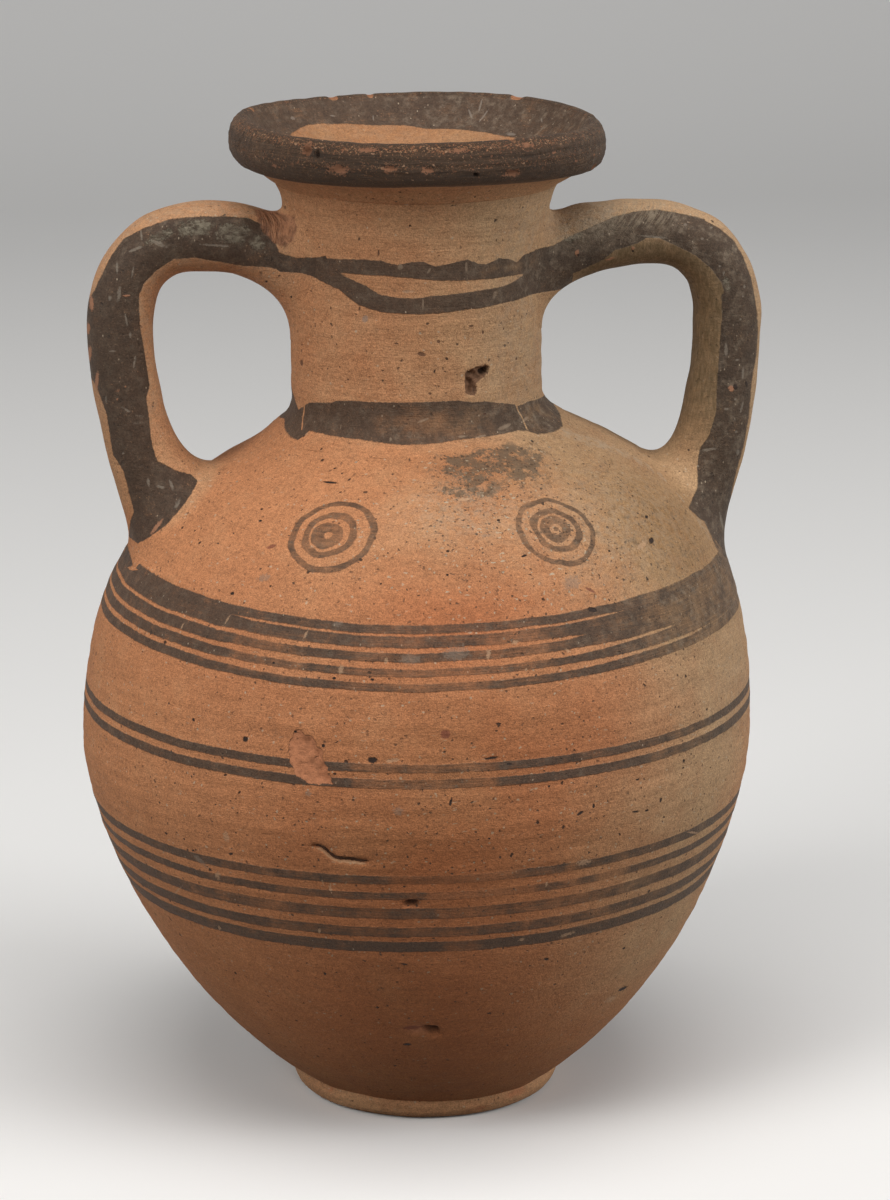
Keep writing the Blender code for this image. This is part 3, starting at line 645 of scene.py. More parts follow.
def paint_thinness(azimuth, height):
    """How thin the body's paint is, 0 to 1: thinner in the boxes, in the rings, at the right of the
    upper stripes, in the low stripes and in the middle of the upper ones."""
    thin = 0.2
    for a0, a1, z0, z1, amount in THIN_BOXES:
        inside = smooth(a0 - 1.2, a0 + 1.2, azimuth) * (1 - smooth(a1 - 1.2, a1 + 1.2, azimuth))
        inside = inside * smooth(z0 - 0.3, z0 + 0.3, height) * (1 - smooth(z1 - 0.3, z1 + 0.3, height))
        thin = thin + amount * inside
    front = mirrored_front(azimuth)
    thin = thin + patches(front, height, THIN_RINGS)
    thin = thin + 0.25 * smooth(25.0, 50.0, front) * smooth(80.0, 84.0, height) * smooth(98.0, 94.0, height)
    low = smooth(60.0, 52.0, height) * smooth(41.5, 43.0, height)
    thin = thin + 0.25 * low * smooth(55.0, 25.0, np.abs(front))
    thin = thin + 0.2 * smooth(-24.0, -14.0, front) * smooth(24.0, 12.0, front) * smooth(82.0, 84.0, height)
    return np.clip(thin, 0.0, 1.0)


def clay_tones(azimuth, height):
    """Masks of the fired clay: buff where it is pale, flushed where it is redder, stained where it
    is grey with speckles."""
    front = wrapped(azimuth)
    buff = 0.95 * smooth(12.0, 50.0, front + (height - 100.0) * 0.12) * smooth(70.0, 92.0, height)
    buff = buff * (1 - smooth(128.0, 165.0, np.abs(front))) + patches(azimuth, height, BUFF_PATCHES)
    buff_neck = 0.30 + 0.62 * smooth(-30.0, 44.0, front) + 0.12 * smooth(146.0, 152.0, height)
    buff = buff + smooth(112.0, 119.0, height) * (buff_neck - buff)
    flush, stain = (patches(azimuth, height, listed) for listed in (FLUSH_PATCHES, STAIN_PATCHES))
    return np.clip(buff, 0, 1), np.clip(flush, 0, 1), np.clip(stain, 0, 1)


def surface_fields(azimuth, height):
    """Spread over the clay of the jar: grit where it is pitted, a pale film where dust clings, painted shade
    where the clay is darkened low on the belly, at its base and under the right handle's root, and dust on
    the paint."""
    front = wrapped(azimuth)
    grit = 0.7 - 0.3 * smooth(40.0, 20.0, height) + patches(azimuth, height, GRIT_PATCHES)
    film = 0.5 * smooth(116.0, 124.0, height) * smooth(14.0, 50.0, front) * smooth(110.0, 80.0, front)
    film = film + patches(azimuth, height, FILM_PATCHES)
    dusk = patches(azimuth, height, DUSK_PATCHES)
    dust = 0.35 - 0.25 * smooth(60.0, 45.0, height)
    dust = dust + 0.65 * smooth(8.0, 55.0, front) * smooth(112.0, 115.0, height)
    dust = dust + 0.6 * smooth(22.0, 50.0, front) * smooth(80.0, 86.0, height) * smooth(100.0, 94.0, height)
    dust = dust + 0.35 * spot(front, height, -20.0, 116.5, 8.0, 1.6, 20.5)
    return np.clip(grit, 0, 3), np.clip(film, 0, 1), np.clip(dusk, 0, 1), np.clip(dust, 0, 1)


def filler(shape, rows):
    """What puts values on some rows of a grid, and one value on all the others."""

    def on_all(values, value=0.0):
        full = np.full(shape + np.shape(values)[2:], value, float)
        full[rows] = values
        return full

    return on_all


# Rings of the body's unseen parts, as radius and height: its floor, its top edge, its underside
FLOOR_RINGS = ((0.5, FLOOR_HEIGHT), (8.0, FLOOR_HEIGHT), (16.0, FLOOR_HEIGHT))
JOINT_RINGS = ((18.9, 111.5),)
UNDERSIDE_RINGS = ((20.4, 3.3), (13.2, 3.4), (6.0, 4.2), (0.5, 4.6))


def make_body():
    """Body: the inside from its floor up, over the hidden joint with the neck, down the carved
    outside and in under the foot, as one closed turned skin."""
    azimuth = spread((-80, -32, 0.64), (-32, -4, 0.36), (-4, 80, 0.64), (80, 280, 2.3))[None, :]
    above, below, end = run_at(78.0), run_at(47.0), RUN[-1]
    outer_run = spread((JOINT_RUN, above, 0.78), (above, below, 0.42), (below, end, 1.0))
    outer_run = np.append(outer_run, end)[:, None]
    _, height, _, _ = outline_at(outer_run)
    height = height + 0 * azimuth
    depth, broken, bare, hollow = body_carving(azimuth, height)
    fine = 0.035 * ripples(np.radians(azimuth) * 50.0 / 6.0, height, 3, 1.5, 6.0)
    outer = wall_point(azimuth, outer_run, fine - depth)
    inner_run = np.linspace(JOINT_RUN + 2.0, RUN[-1] - 15.0, 34)[::-1][:, None]
    inner = wall_point(azimuth, inner_run, -WALL_THICKNESS)
    inner[..., 2] = np.maximum(inner[..., 2], FLOOR_HEIGHT)
    floor, joint, under = (np.concatenate([turned(r, azimuth, z, lean(z)) for r, z in rings])
                           for rings in (FLOOR_RINGS, JOINT_RINGS, UNDERSIDE_RINGS))
    points = np.concatenate([floor, inner, joint, outer, under])
    on_all = filler(points.shape[:2], slice(len(floor) + len(inner) + len(joint), -len(under)))
    x, z = seen_on_plane(outer)
    near_root = (np.abs(outer[..., 0]) > 25.0) & (height > 84.0)
    shapes = (LEFT_PAINT, RIGHT_PAINT, STROKE_UNDER_RIGHT, STROKE_UNDER_LEFT)
    area = np.max([edge_distance(x, z, shape) for shape in shapes], axis=0)
    area = np.where(near_root, area, -PAINT_REACH)
    area = np.maximum(area, np.where(height > 108.0, neck_paint(azimuth, height), -PAINT_REACH))
    front = mirrored_front(azimuth)
    drift = 1.35 * (1 - np.exp(-(((front + 10.0) / 45.0) ** 2)))
    swing = 0.45 * np.sin(np.radians(azimuth))
    buff, flush, stain = clay_tones(azimuth, height)
    grit, film, dusk, dust = surface_fields(azimuth, height)
    smear = line_distance(*local(azimuth, height, *SMEAR_AT), local_line(SMEAR, *SMEAR_AT))
    film = np.maximum(film, 0.95 * smooth(2.4, 0.3, smear))
    right = smooth(20.0, 34.0, front)
    left = smooth(38.0, 48.0, -front)
    offset = wall_offset(azimuth, outer_run)
    # The jar's inside, floor and underside get painted shade of 0.5.
    return skin(
        "body_clay", points, poles=True,
        area=on_all(np.clip(area, -PAINT_REACH, PAINT_REACH), -PAINT_REACH),
        thin=on_all(paint_thinness(azimuth, height)), drift=on_all(drift), swing=on_all(swing),
        gap_1=on_all(0.17 - 0.3 * smooth(26.0, 36.0, front) - 0.35 * left),
        gap_2=on_all(0.36 - 0.12 * left - 0.14 * smooth(5.0, 18.0, front) - 0.4 * smooth(19.0, 26.0, front)),
        gap_3=on_all(0.5 - 0.2 * left - 0.28 * right - 0.35 * smooth(38.0, 50.0, front)),
        gap_4=on_all(0.5 - 0.14 * left - 0.26 * right - 0.25 * smooth(44.0, 60.0, front)),
        inside=on_all(0.0, 1.0),
        bare=on_all(bare), hollow=on_all(hollow), buff=on_all(buff, 0.2), flush=on_all(flush),
        stain=on_all(stain), grit=on_all(grit, 0.7), film=on_all(film), dusk=on_all(dusk, 0.5),
        dust=on_all(dust, 0.3),
        broken=on_all(np.clip(broken, -BREAK_REACH, BREAK_REACH), -BREAK_REACH),
        crack=on_all(line_field(CRACK, 0.22, offset), OFF_MARK),
        **{kind: on_all(field, OFF_MARK) for kind, field in mark_fields(height.shape, BODY_MARKS, offset)},
    )


# Radius and height of the neck's inner wall, from its foot up to the lip's seat
NECK_BORE = (
    (18.9, 111.5), (16.6, 110.3), (16.5, 116), (16.5, 124), (16.5, 132), (16.5, 140), (16.6, 146),
    (17.2, 150.5), (18, 153.6), (18.7, 156.2), (20.8, 156.2),
)


def make_neck():
    """Neck: its outside down to the joint, and its bore back up, as one closed loop turned round."""
    azimuth = spread((-80, 12, 0.64), (12, 31, 0.4), (31, 80, 0.64), (80, 280, 2.3))[None, :]
    run = np.append(spread((0.0, run_at(129.0), 0.42), (run_at(129.0), run_at(121.0), 0.24),
                           (run_at(121.0), JOINT_RUN, 0.4)), JOINT_RUN)[:, None]
    _, height, _, _ = outline_at(run)
    height = height + 0 * azimuth
    u, v = local(azimuth, height, *GOUGE_AT)
    broken = edge_distance(u, v, local_line(GOUGE, *GOUGE_AT)) + 0.04 * ripples(u, v, 11, 0.7, 1.8)
    gouge = smooth(-0.1, 0.45, broken)
    right, above = u - 2.2, v - 1.1
    arm = 1 - smooth(0.45, 1.15, np.hypot(right * 0.8 + above * 0.6, (above * 0.8 - right * 0.6) / 0.6))
    low = 1 - smooth(0.4, 1.1, np.hypot((u - 0.35) / 0.45, (v + 2.0) / 0.8))
    depth = gouge * (0.75 + 0.25 * ripples(u, v, 12, 1.0, 2.2) + 0.3 * low) + 0.9 * np.minimum(arm, gouge)
    fine = 0.04 * ripples(np.radians(azimuth) * 20.0 / 8.0, height, 13, 1.2, 5.0)
    outer = wall_point(azimuth, run, fine - depth)
    r, z = np.array(NECK_BORE).T[..., None]
    points = np.concatenate([outer, turned(r, azimuth, z, lean(z))])
    on_all = filler(points.shape[:2], slice(len(run)))
    area = neck_paint(azimuth, height)
    x, z = seen_on_plane(outer)
    torn = np.where((np.abs(azimuth) < 90) & (x < -17.0), edge_distance(x, z, TORN), -BREAK_REACH)
    for shape in (LEFT_PAINT, RIGHT_PAINT):
        link = np.where(np.abs(outer[..., 0]) > 17.0, edge_distance(x, z, shape), -PAINT_REACH)
        area = np.maximum(area, link)
    buff, flush, stain = clay_tones(azimuth, height)
    grit, film, dusk, dust = surface_fields(azimuth, height)
    thin = 0.15 + patches(mirrored_front(azimuth), height, THIN_NECK)
    offset = wall_offset(azimuth, run)
    # The bore gets painted shade of 0.4, and the gouge's arm and low end get painted shade in the hollow.
    return skin(
        "neck_clay", points, loop=True,
        area=on_all(np.clip(area, -PAINT_REACH, PAINT_REACH), -PAINT_REACH), thin=on_all(thin),
        bare=0.0, hollow=on_all(np.maximum(np.minimum(arm, gouge), 0.8 * low * gouge)),
        buff=on_all(buff, 0.45), flush=on_all(flush), stain=on_all(stain),
        grit=on_all(0.5 * grit), film=on_all(film), dusk=on_all(dusk, 0.4), dust=on_all(dust),
        broken=on_all(np.clip(broken, -BREAK_REACH, BREAK_REACH), -BREAK_REACH),
        torn=on_all(np.clip(torn, -BREAK_REACH, BREAK_REACH), -BREAK_REACH),
        **{kind: on_all(field, OFF_MARK) for kind, field in mark_fields(height.shape, NECK_MARKS, offset)},
    )


# Outline of the lip's section, as radius and height, round from its inner seat over the crest
RIM_LOOP = (
    (18.75, 156.25), (19.1, 156.6), (20.4, 157.6), (22.2, 158.7), (23.8, 159.7), (25.2, 161), (26.4, 162.5),
    (27.2, 163.7), (27.8, 164.4), (28.4, 164.7), (29.15, 164.5), (29.95, 163.6), (30.45, 162.4),
    (30.65, 161), (30.5, 159.8), (30.1, 158.8), (29.4, 158), (28.5, 157.6), (27.4, 157.3), (26, 156.8),
    (24.7, 156), (23.7, 155.2), (22.95, 154.5), (22.1, 154.4), (21.2, 154.6), (21, 156.25),
)

# Radius down to which the funnel is painted, by azimuth
FUNNEL_PAINT = (
    (0, 90, 116, 128, 149, 172, 184, 199, 212, 225, 232, 240, 250, 270, 360),
    (23, 22.1, 22.1, 22.3, 22.6, 23.3, 23.9, 24.5, 24.95, 24.7, 24.2, 23.3, 22.5, 22, 22.4),
)

# Chips out of the crest: azimuth, half width in mm and depth in mm
CHIPS_ON_CREST = (
    (-157, 0.9, 0.5), (-170.6, 0.6, 0.35), (136.7, 1.3, 0.6), (-112, 0.5, 0.3), (24, 0.5, 0.25),
)

# Hollows of the lip's outer face: azimuth, height, half width, half height and depth in mm
RIM_HOLLOWS = (
    (-42, 162.8, 0.8, 1.05, 0.8), (-38, 162.7, 0.42, 0.8, 1.1), (10.5, 159.5, 0.5, 0.42, 0.9),
    (-30.8, 160.5, 1.6, 0.7, 0.3), (-15, 160.9, 0.9, 0.6, 0.3), (-3.8, 160.5, 0.8, 0.5, 0.28),
    (22, 159.4, 1.3, 0.5, 0.32), (64, 158.6, 0.6, 0.5, 0.3), (-76, 161.6, 0.4, 1.2, 0.2),
)

# Marks in the funnel, as azimuth, radius, half sizes in mm and turn, and on the outer face, with a
# height in place of the radius
FUNNEL_SCRATCHES = (
    (149.5, 26.5, 0.17, 1.1), (152.5, 25.5, 0.17, 1, -35), (147, 25.3, 0.16, 1.2, 22),
    (130, 22.9, 1.1, 0.45), (103, 24.1, 0.9, 0.14, 25), (92, 25.7, 0.7, 0.14, -25),
    (206, 25.8, 0.6, 0.12, 12), (190, 25.2, 0.12, 0.6, 5), (120, 25.8, 0.5, 0.12, 35), (225, 26, 0.5, 0.3),
)
LIP_SCARS = (
    (-30.8, 160.5, 1.9, 0.8), (-15, 160.9, 1.1, 0.75, 10), (-3.8, 160.5, 1, 0.6, -10),
    (22, 159.4, 1.5, 0.6, 5), (64, 158.6, 0.8, 0.6), (-42.2, 163.2, 0.9, 1.1), (38, 162.2, 0.5, 0.2),
    (-55, 160, 0.5, 0.3), (48, 160.4, 0.4, 0.2), (5, 163.6, 1.2, 0.35), (-22, 163.8, 1.6, 0.3),
    (28, 163.7, 1.2, 0.35),
)


def make_rim():
    """Rim: a closed loop of the lip's section turned round, tilted, with a rough worn outer band,
    hollows, and chips out of its crest."""
    azimuth = np.linspace(-180.0, 180.0, 560, endpoint=False)[None, :]
    loop = np.array(RIM_LOOP + RIM_LOOP[:1])
    line = even(rounded(even(loop, 700), 16), 151)[:-1]
    ahead, behind = np.roll(line, -1, axis=0), np.roll(line, 1, axis=0)
    along = (ahead - behind) / np.hypot(*(ahead - behind).T)[:, None]
    r, z = line[:, :1], line[:, 1:]
    normal_r, normal_z = -along[:, 1:], along[:, :1]
    crest_row = int(line[:, 1].argmax())
    outside = (np.arange(len(line)) > crest_row)[:, None]
    across = np.radians(azimuth) * 30.0
    face = outside * smooth(28.2, 29.2, r) * smooth(156.8, 158.2, z)
    worn = np.maximum(face, smooth(27.4, 28.0, r) * smooth(163.6, 164.4, z))
    coarse = ripples(across / 3.0, z * 1.4, 21, 1.0, 3.5)
    grit = ripples(across, z + 0.4 * r, 22, 0.8, 2.2, 20)
    ridges = 0.07 * np.sin(2 * math.pi * (z + 0.12 * np.sin(across / 7.0)) / 1.25) * smooth(159.0, 160.4, z)
    ridges = ridges * (1 - smooth(162.8, 163.6, z)) * (0.6 + 0.4 * np.sin(across / 11.0 + 1.0))
    out = worn * (0.03 * coarse + 0.025 * grit * smooth(164.4, 163.4, z)) + face * ridges
    chip = np.zeros(out.shape)
    crest = np.exp(-(((r - 28.5) / 1.2) ** 2)) * smooth(163.4, 164.4, z)
    for at, half, depth in CHIPS_ON_CREST:
        part = crest * np.exp(-((np.radians(wrapped(azimuth - at)) * 28.6 / half) ** 4))
        out = out - 0.5 * depth * part
        chip = np.maximum(chip, part)
    hollow = np.zeros(out.shape)
    for at, height, wide, tall, depth in RIM_HOLLOWS:
        u, v = local(azimuth, z, at, height, LIP_RADIUS)
        part = (1 - smooth(0.35, 1.1, np.hypot(u / wide, v / tall) + 0.12 * coarse)) * face
        out = out - depth * part
        # The deeper hollows get painted shade.
        if depth > 0.5:
            hollow = np.maximum(hollow, part * (1.0 if wide < 0.6 else 0.35))
    turn = np.radians(azimuth)
    wobble = 1 + 0.004 * np.sin(2 * turn + 0.6) + 0.003 * np.sin(3 * turn + 2.0)
    radius = (r + out * normal_r) * wobble
    lift = 0.33 - 0.2 * np.sin(turn) - 0.07 * np.cos(turn) - 0.04 * np.sin(2 * turn) - 0.03 * np.cos(2 * turn)
    lift = lift + 0.22 * np.sin(3 * turn) + 0.1 * np.cos(3 * turn)
    hang = (0.3 - 0.75 * np.sin(turn) ** 2) * (1 - smooth(159.5, 162.0, z)) * smooth(23.0, 25.0, r) * outside
    height = z + out * normal_z + lift * smooth(155.0, 158.5, z) + hang
    points = turned(radius, azimuth, height, lean(z))
    painted_to = np.interp(azimuth % 360.0, *FUNNEL_PAINT) - 0.08 * ripples(across / 4.0, 0 * z, 23, 2.0, 5.0)
    inside_edge = np.where(r > 27.4, PAINT_REACH, r - painted_to)
    foot_edge = (z - 157.45) * 1.2 + 0.12 * ripples(across / 4.0, 0 * z, 24, 2.0, 6.0)
    foot_edge = np.where(z < 158.4, foot_edge, PAINT_REACH)
    area = np.where(outside, foot_edge, inside_edge)
    buff = np.where(outside, 0.5 + 0.25 * smooth(0.0, 60.0, azimuth), 0.62)
    lip_wear = 0.9 * np.exp(-(((z - 163.8) / 0.8) ** 2)) + 0.55 * np.exp(-(((z - 161.1) / 0.9) ** 2)) + 0.1
    lip_wear = lip_wear * worn * (1 - 0.5 * smooth(35.0, 60.0, azimuth) * (1 - smooth(120.0, 150.0, azimuth)))
    # Painted shade: the lip's face darkened where it faces the camera, with darker grooves there and less
    # dust film.
    facing = np.exp(-(((azimuth + 4.0) / 52.0) ** 4)) * outside * smooth(157.3, 158.0, z)
    on_face = lambda a, b: local(azimuth, z, a, b, LIP_RADIUS)
    in_funnel = lambda a, b: (np.radians(wrapped(azimuth - a)) * 25.0, (r - b) * 1.35 + 0 * azimuth)
    scars = mark_field(out.shape, LIP_SCARS, on_face)
    scars[..., 2] *= outside
    scratches = mark_field(out.shape, FUNNEL_SCRATCHES, in_funnel)
    scratches[..., 2] *= ~outside
    # Inside the lip the clay gets painted shade of 0.6.
    return skin(
        "rim_clay", points, loop=True,
        area=np.clip(area, -PAINT_REACH, PAINT_REACH), thin=0.2, bare=np.clip(chip, 0, 1),
        broken=-BREAK_REACH, hollow=hollow, buff=buff, flush=0.25 * ~outside, stain=0.0,
        dusk=0.6 * ~outside, film=0.2 * ~outside,
        dust=np.clip(0.5 - 0.4 * facing + 0.35 * smooth(30.0, 65.0, azimuth), 0, 1),
        grit=0.15 + 0.55 * outside, facing=facing, worn=worn, lip_wear=lip_wear,
        scars=scars, scratches=scratches,
    )


# Outline of the foot ring's section, as radius and height, and its chips, as azimuth, height, half
# width and half height in mm
FOOT_LOOP = (
    (13.5, 3.5), (13.5, 0.6), (14.1, 0.05), (17, 0), (20.4, 0.05), (21.5, 0.5), (22.2, 1.4), (22.5, 2.5),
    (22.5, 3.3), (22.3, 3.9), (21.8, 4.3), (20.6, 4.6), (15, 4.4), (13.5, 3.5),
)
FOOT_CHIPS = ((36, 2.9, 3.2, 0.8), (18, 1.6, 1.4, 0.5), (-52, 3.2, 0.8, 0.6), (118, 1.2, 2.4, 0.8))
FOOT_RADIUS = 22.2


def make_foot():
    """Foot ring: a closed loop of its section turned round, slightly uneven, with small chips."""
    azimuth = np.linspace(-180.0, 180.0, 300, endpoint=False)[None, :]
    line = even(rounded(even(np.array(FOOT_LOOP), 300), 10), 61)[:-1]
    r, z = line[:, :1], line[:, 1:]
    across = np.radians(azimuth) * 21.0
    rough = 0.05 * ripples(across / 5.0, z, 31, 1.5, 5.0) + 0.012 * ripples(across, z, 32, 0.8, 2.0)
    chip = np.zeros((len(line), azimuth.shape[1]))
    ragged = 0.15 * ripples(across, z, 33, 1.0, 3.0)
    for at, level, wide, tall in FOOT_CHIPS:
        u, v = local(azimuth, z, at, level, FOOT_RADIUS)
        part = (1 - smooth(0.3, 1.1, np.hypot(u / wide, v / tall) + ragged)) * smooth(20.0, 21.4, r)
        chip = np.maximum(chip, part)
    radius = r + rough * smooth(17.0, 20.0, r) - 0.18 * chip
    sideways = np.abs(mirrored_front(azimuth))
    # The foot ring's front and back are darkened with painted shade.
    return skin(
        "foot_ring_clay", turned(radius, azimuth, z, lean(0.0)), loop=True, area=-PAINT_REACH, thin=0.0,
        broken=-BREAK_REACH, bare=np.clip(0.6 * chip + 0.2 * smooth(1.4, 0.2, z), 0, 1), hollow=0.0,
        buff=0.35 + 0.2 * smooth(0.0, 40.0, sideways), flush=0.5 * chip, stain=0.0, grit=0.7,
        dusk=0.25 * smooth(60.0, 20.0, sideways),
    )


# Marks on the straps, as X and Z on the paint plane, half sizes in mm, and turn in degrees if any
LEFT_STRAP_MARKS = {
    "scars": (
        (-46, 147.5, 0.16, 1, 5), (-46.9, 145.4, 1.25, 0.24, 22), (-50, 142.5, 0.18, 1.1),
        (-47.5, 141.7, 0.16, 1, -12), (-49.8, 138.1, 0.3, 1.4, -10), (-51.2, 137.5, 0.3, 0.45),
        (-48.7, 133.8, 0.16, 1.3, 10), (-48.1, 131.4, 0.2, 0.5), (-51, 128.8, 0.55, 0.16),
        (-47.5, 127, 0.18, 0.95, -10), (-52.2, 120.9, 0.14, 0.7), (-48.8, 119, 1, 0.2, -30),
        (-47, 118, 1, 0.18, -8), (-47, 116.9, 0.85, 0.24, 5), (-49.6, 111.9, 0.2, 0.2),
        (-45.6, 107, 0.25, 0.85), (-43.6, 106.1, 1, 0.22, -15), (-41.8, 106.2, 0.26, 1, 20),
        (-40.9, 103.4, 0.34, 1.1, -20), (-43.3, 146.2, 1.4, 0.34, -25), (-34.2, 145.7, 2.3, 0.2, -5),
    ),
    "chips": (
        (-50.1, 122.2, 0.45, 0.3), (-50.4, 120.9, 0.22, 0.22), (-49.1, 122.9, 0.2, 0.2),
        (-48.6, 137.8, 0.6, 0.2), (-44.4, 99.4, 1.6, 0.34, 52), (-54.2, 136.7, 0.34, 1.3, 2),
        (-54.8, 132.6, 0.3, 1, -3), (-54.7, 128.4, 0.34, 1.3, -5), (-53.6, 124, 0.3, 1.6, -6),
    ),
    "crusts": (
        (-37.3, 148.6, 3.4, 1.3, 4), (-31.2, 147.6, 3, 1.7, -8), (-42.7, 147.4, 2.6, 0.7, 22),
        (-27.5, 146, 1.6, 1, -30),
    ),
    "pits": ((-26, 139.6, 0.2, 0.16), (-22, 137, 0.16, 0.2), (-39, 141, 0.2, 0.14)),
}
RIGHT_STRAP_MARKS = {
    "scars": (
        (42.5, 147.4, 0.3, 0.25), (45.3, 145, 0.22, 0.2), (46.8, 146.8, 0.22, 0.18),
        (48.3, 140.4, 0.28, 0.2), (49, 139.3, 0.18, 0.45), (52.5, 136.9, 0.2, 0.3),
        (52.3, 135.3, 0.15, 0.2), (51.9, 131.5, 0.18, 0.18), (52.5, 122.5, 0.2, 1.1),
        (51.5, 124.7, 0.36, 0.2), (51.3, 118.1, 0.2, 0.2), (49.9, 116.5, 0.45, 0.2),
        (52.4, 116.8, 0.18, 1.3, -12), (51.5, 112.6, 0.28, 0.2), (46.9, 109.7, 1.4, 0.24, 6),
        (45.2, 107, 0.18, 0.18), (51.9, 109.1, 0.3, 0.45), (49.3, 97.6, 0.2, 1.5, 12),
        (49.6, 126.5, 0.28, 1.1), (37.3, 145.5, 2.3, 0.2, -6),
    ),
    "chips": (
        (50.6, 119.9, 0.5, 0.55), (24.7, 143.1, 0.36, 0.5), (33.9, 143.7, 0.3, 0.3),
        (30.1, 142, 0.7, 0.2, 12),
    ),
    "crusts": ((24, 145.6, 2.2, 0.5, 25), (49.5, 137.4, 0.5, 1.4, 15)),
    "pits": (
        (51.25, 120.2, 0.34, 0.5, 20), (53.1, 120.7, 0.2, 0.45, 10), (24.9, 142.8, 0.2, 0.18),
        (33.9, 143.2, 0.18, 0.2),
    ),
}


def strap_line():
    """The strap's middle line, run on into the neck and into the shoulder, every 0.15 mm."""
    line = np.vstack([cubic(*STRAP_UPPER, 200), cubic(*STRAP_LOWER, 200)[1:]])
    first = (line[1] - line[0]) / np.hypot(*(line[1] - line[0]))
    last = (line[-1] - line[-2]) / np.hypot(*(line[-1] - line[-2]))
    line = np.vstack([line[0] - 9.0 * first, line, line[-1] + 15.0 * last])
    count = int(np.hypot(*np.diff(line, axis=0).T).sum() / 0.15)
    return rounded(even(line, count), 40)


def nearest_run(radius, height):
    """Length along the outline at the outline's point nearest to each place."""
    apart = (OUTLINE[:, 0] - radius.reshape(-1, 1)) ** 2 + (OUTLINE[:, 1] - height.reshape(-1, 1)) ** 2
    return RUN[apart.argmin(1)].reshape(radius.shape)


def above_wall(points):
    """How far places stand outside the jar's outline, level: their radius less the wall's there."""
    _, radius = polar(points)
    lift = shoulder_lift(points[..., 0] / np.maximum(radius, 1.0), points[..., 2])
    wall = np.interp(-(points[..., 2] - lift), -OUTLINE[:, 1], OUTLINE[:, 0])
    return radius - wall


def on_wall(points, out=0.0):
    """Places moved onto the wall, at the outline's nearest point and their own azimuth."""
    azimuth, radius = polar(points)
    lift = shoulder_lift(np.sin(np.radians(azimuth)), points[..., 2])
    return wall_point(azimuth, nearest_run(radius, points[..., 2] - lift), out)


def root_lengths(turns, top, under, side):
    """Reach of a root's fillet round the strap: top at turn 0, under at half a turn, and side more
    at a quarter, as top + (under - top)(1 - cos)/2 + side sin^2."""
    return top + (under - top) * (1 - np.cos(turns)) / 2 + side * np.sin(turns) ** 2


# Reach in mm of each root's fillet on its top, its underside and sideways: along the strap and over
# the wall at the upper root, then at the lower one
ROOT_REACHES = {
    -1: ((3.2, 11.0, 2.0), (2.6, 8.5, 2.4), (6.0, 15.5, 1.5), (2.6, 11.5, 2.6)),
    1: ((3.2, 9.0, 2.0), (2.6, 6.0, 2.4), (6.0, 11.5, 1.5), (2.6, 8.0, 2.6)),
}

# How square the strap's section is: 2 is an ellipse
BLUNTNESS = 2.35


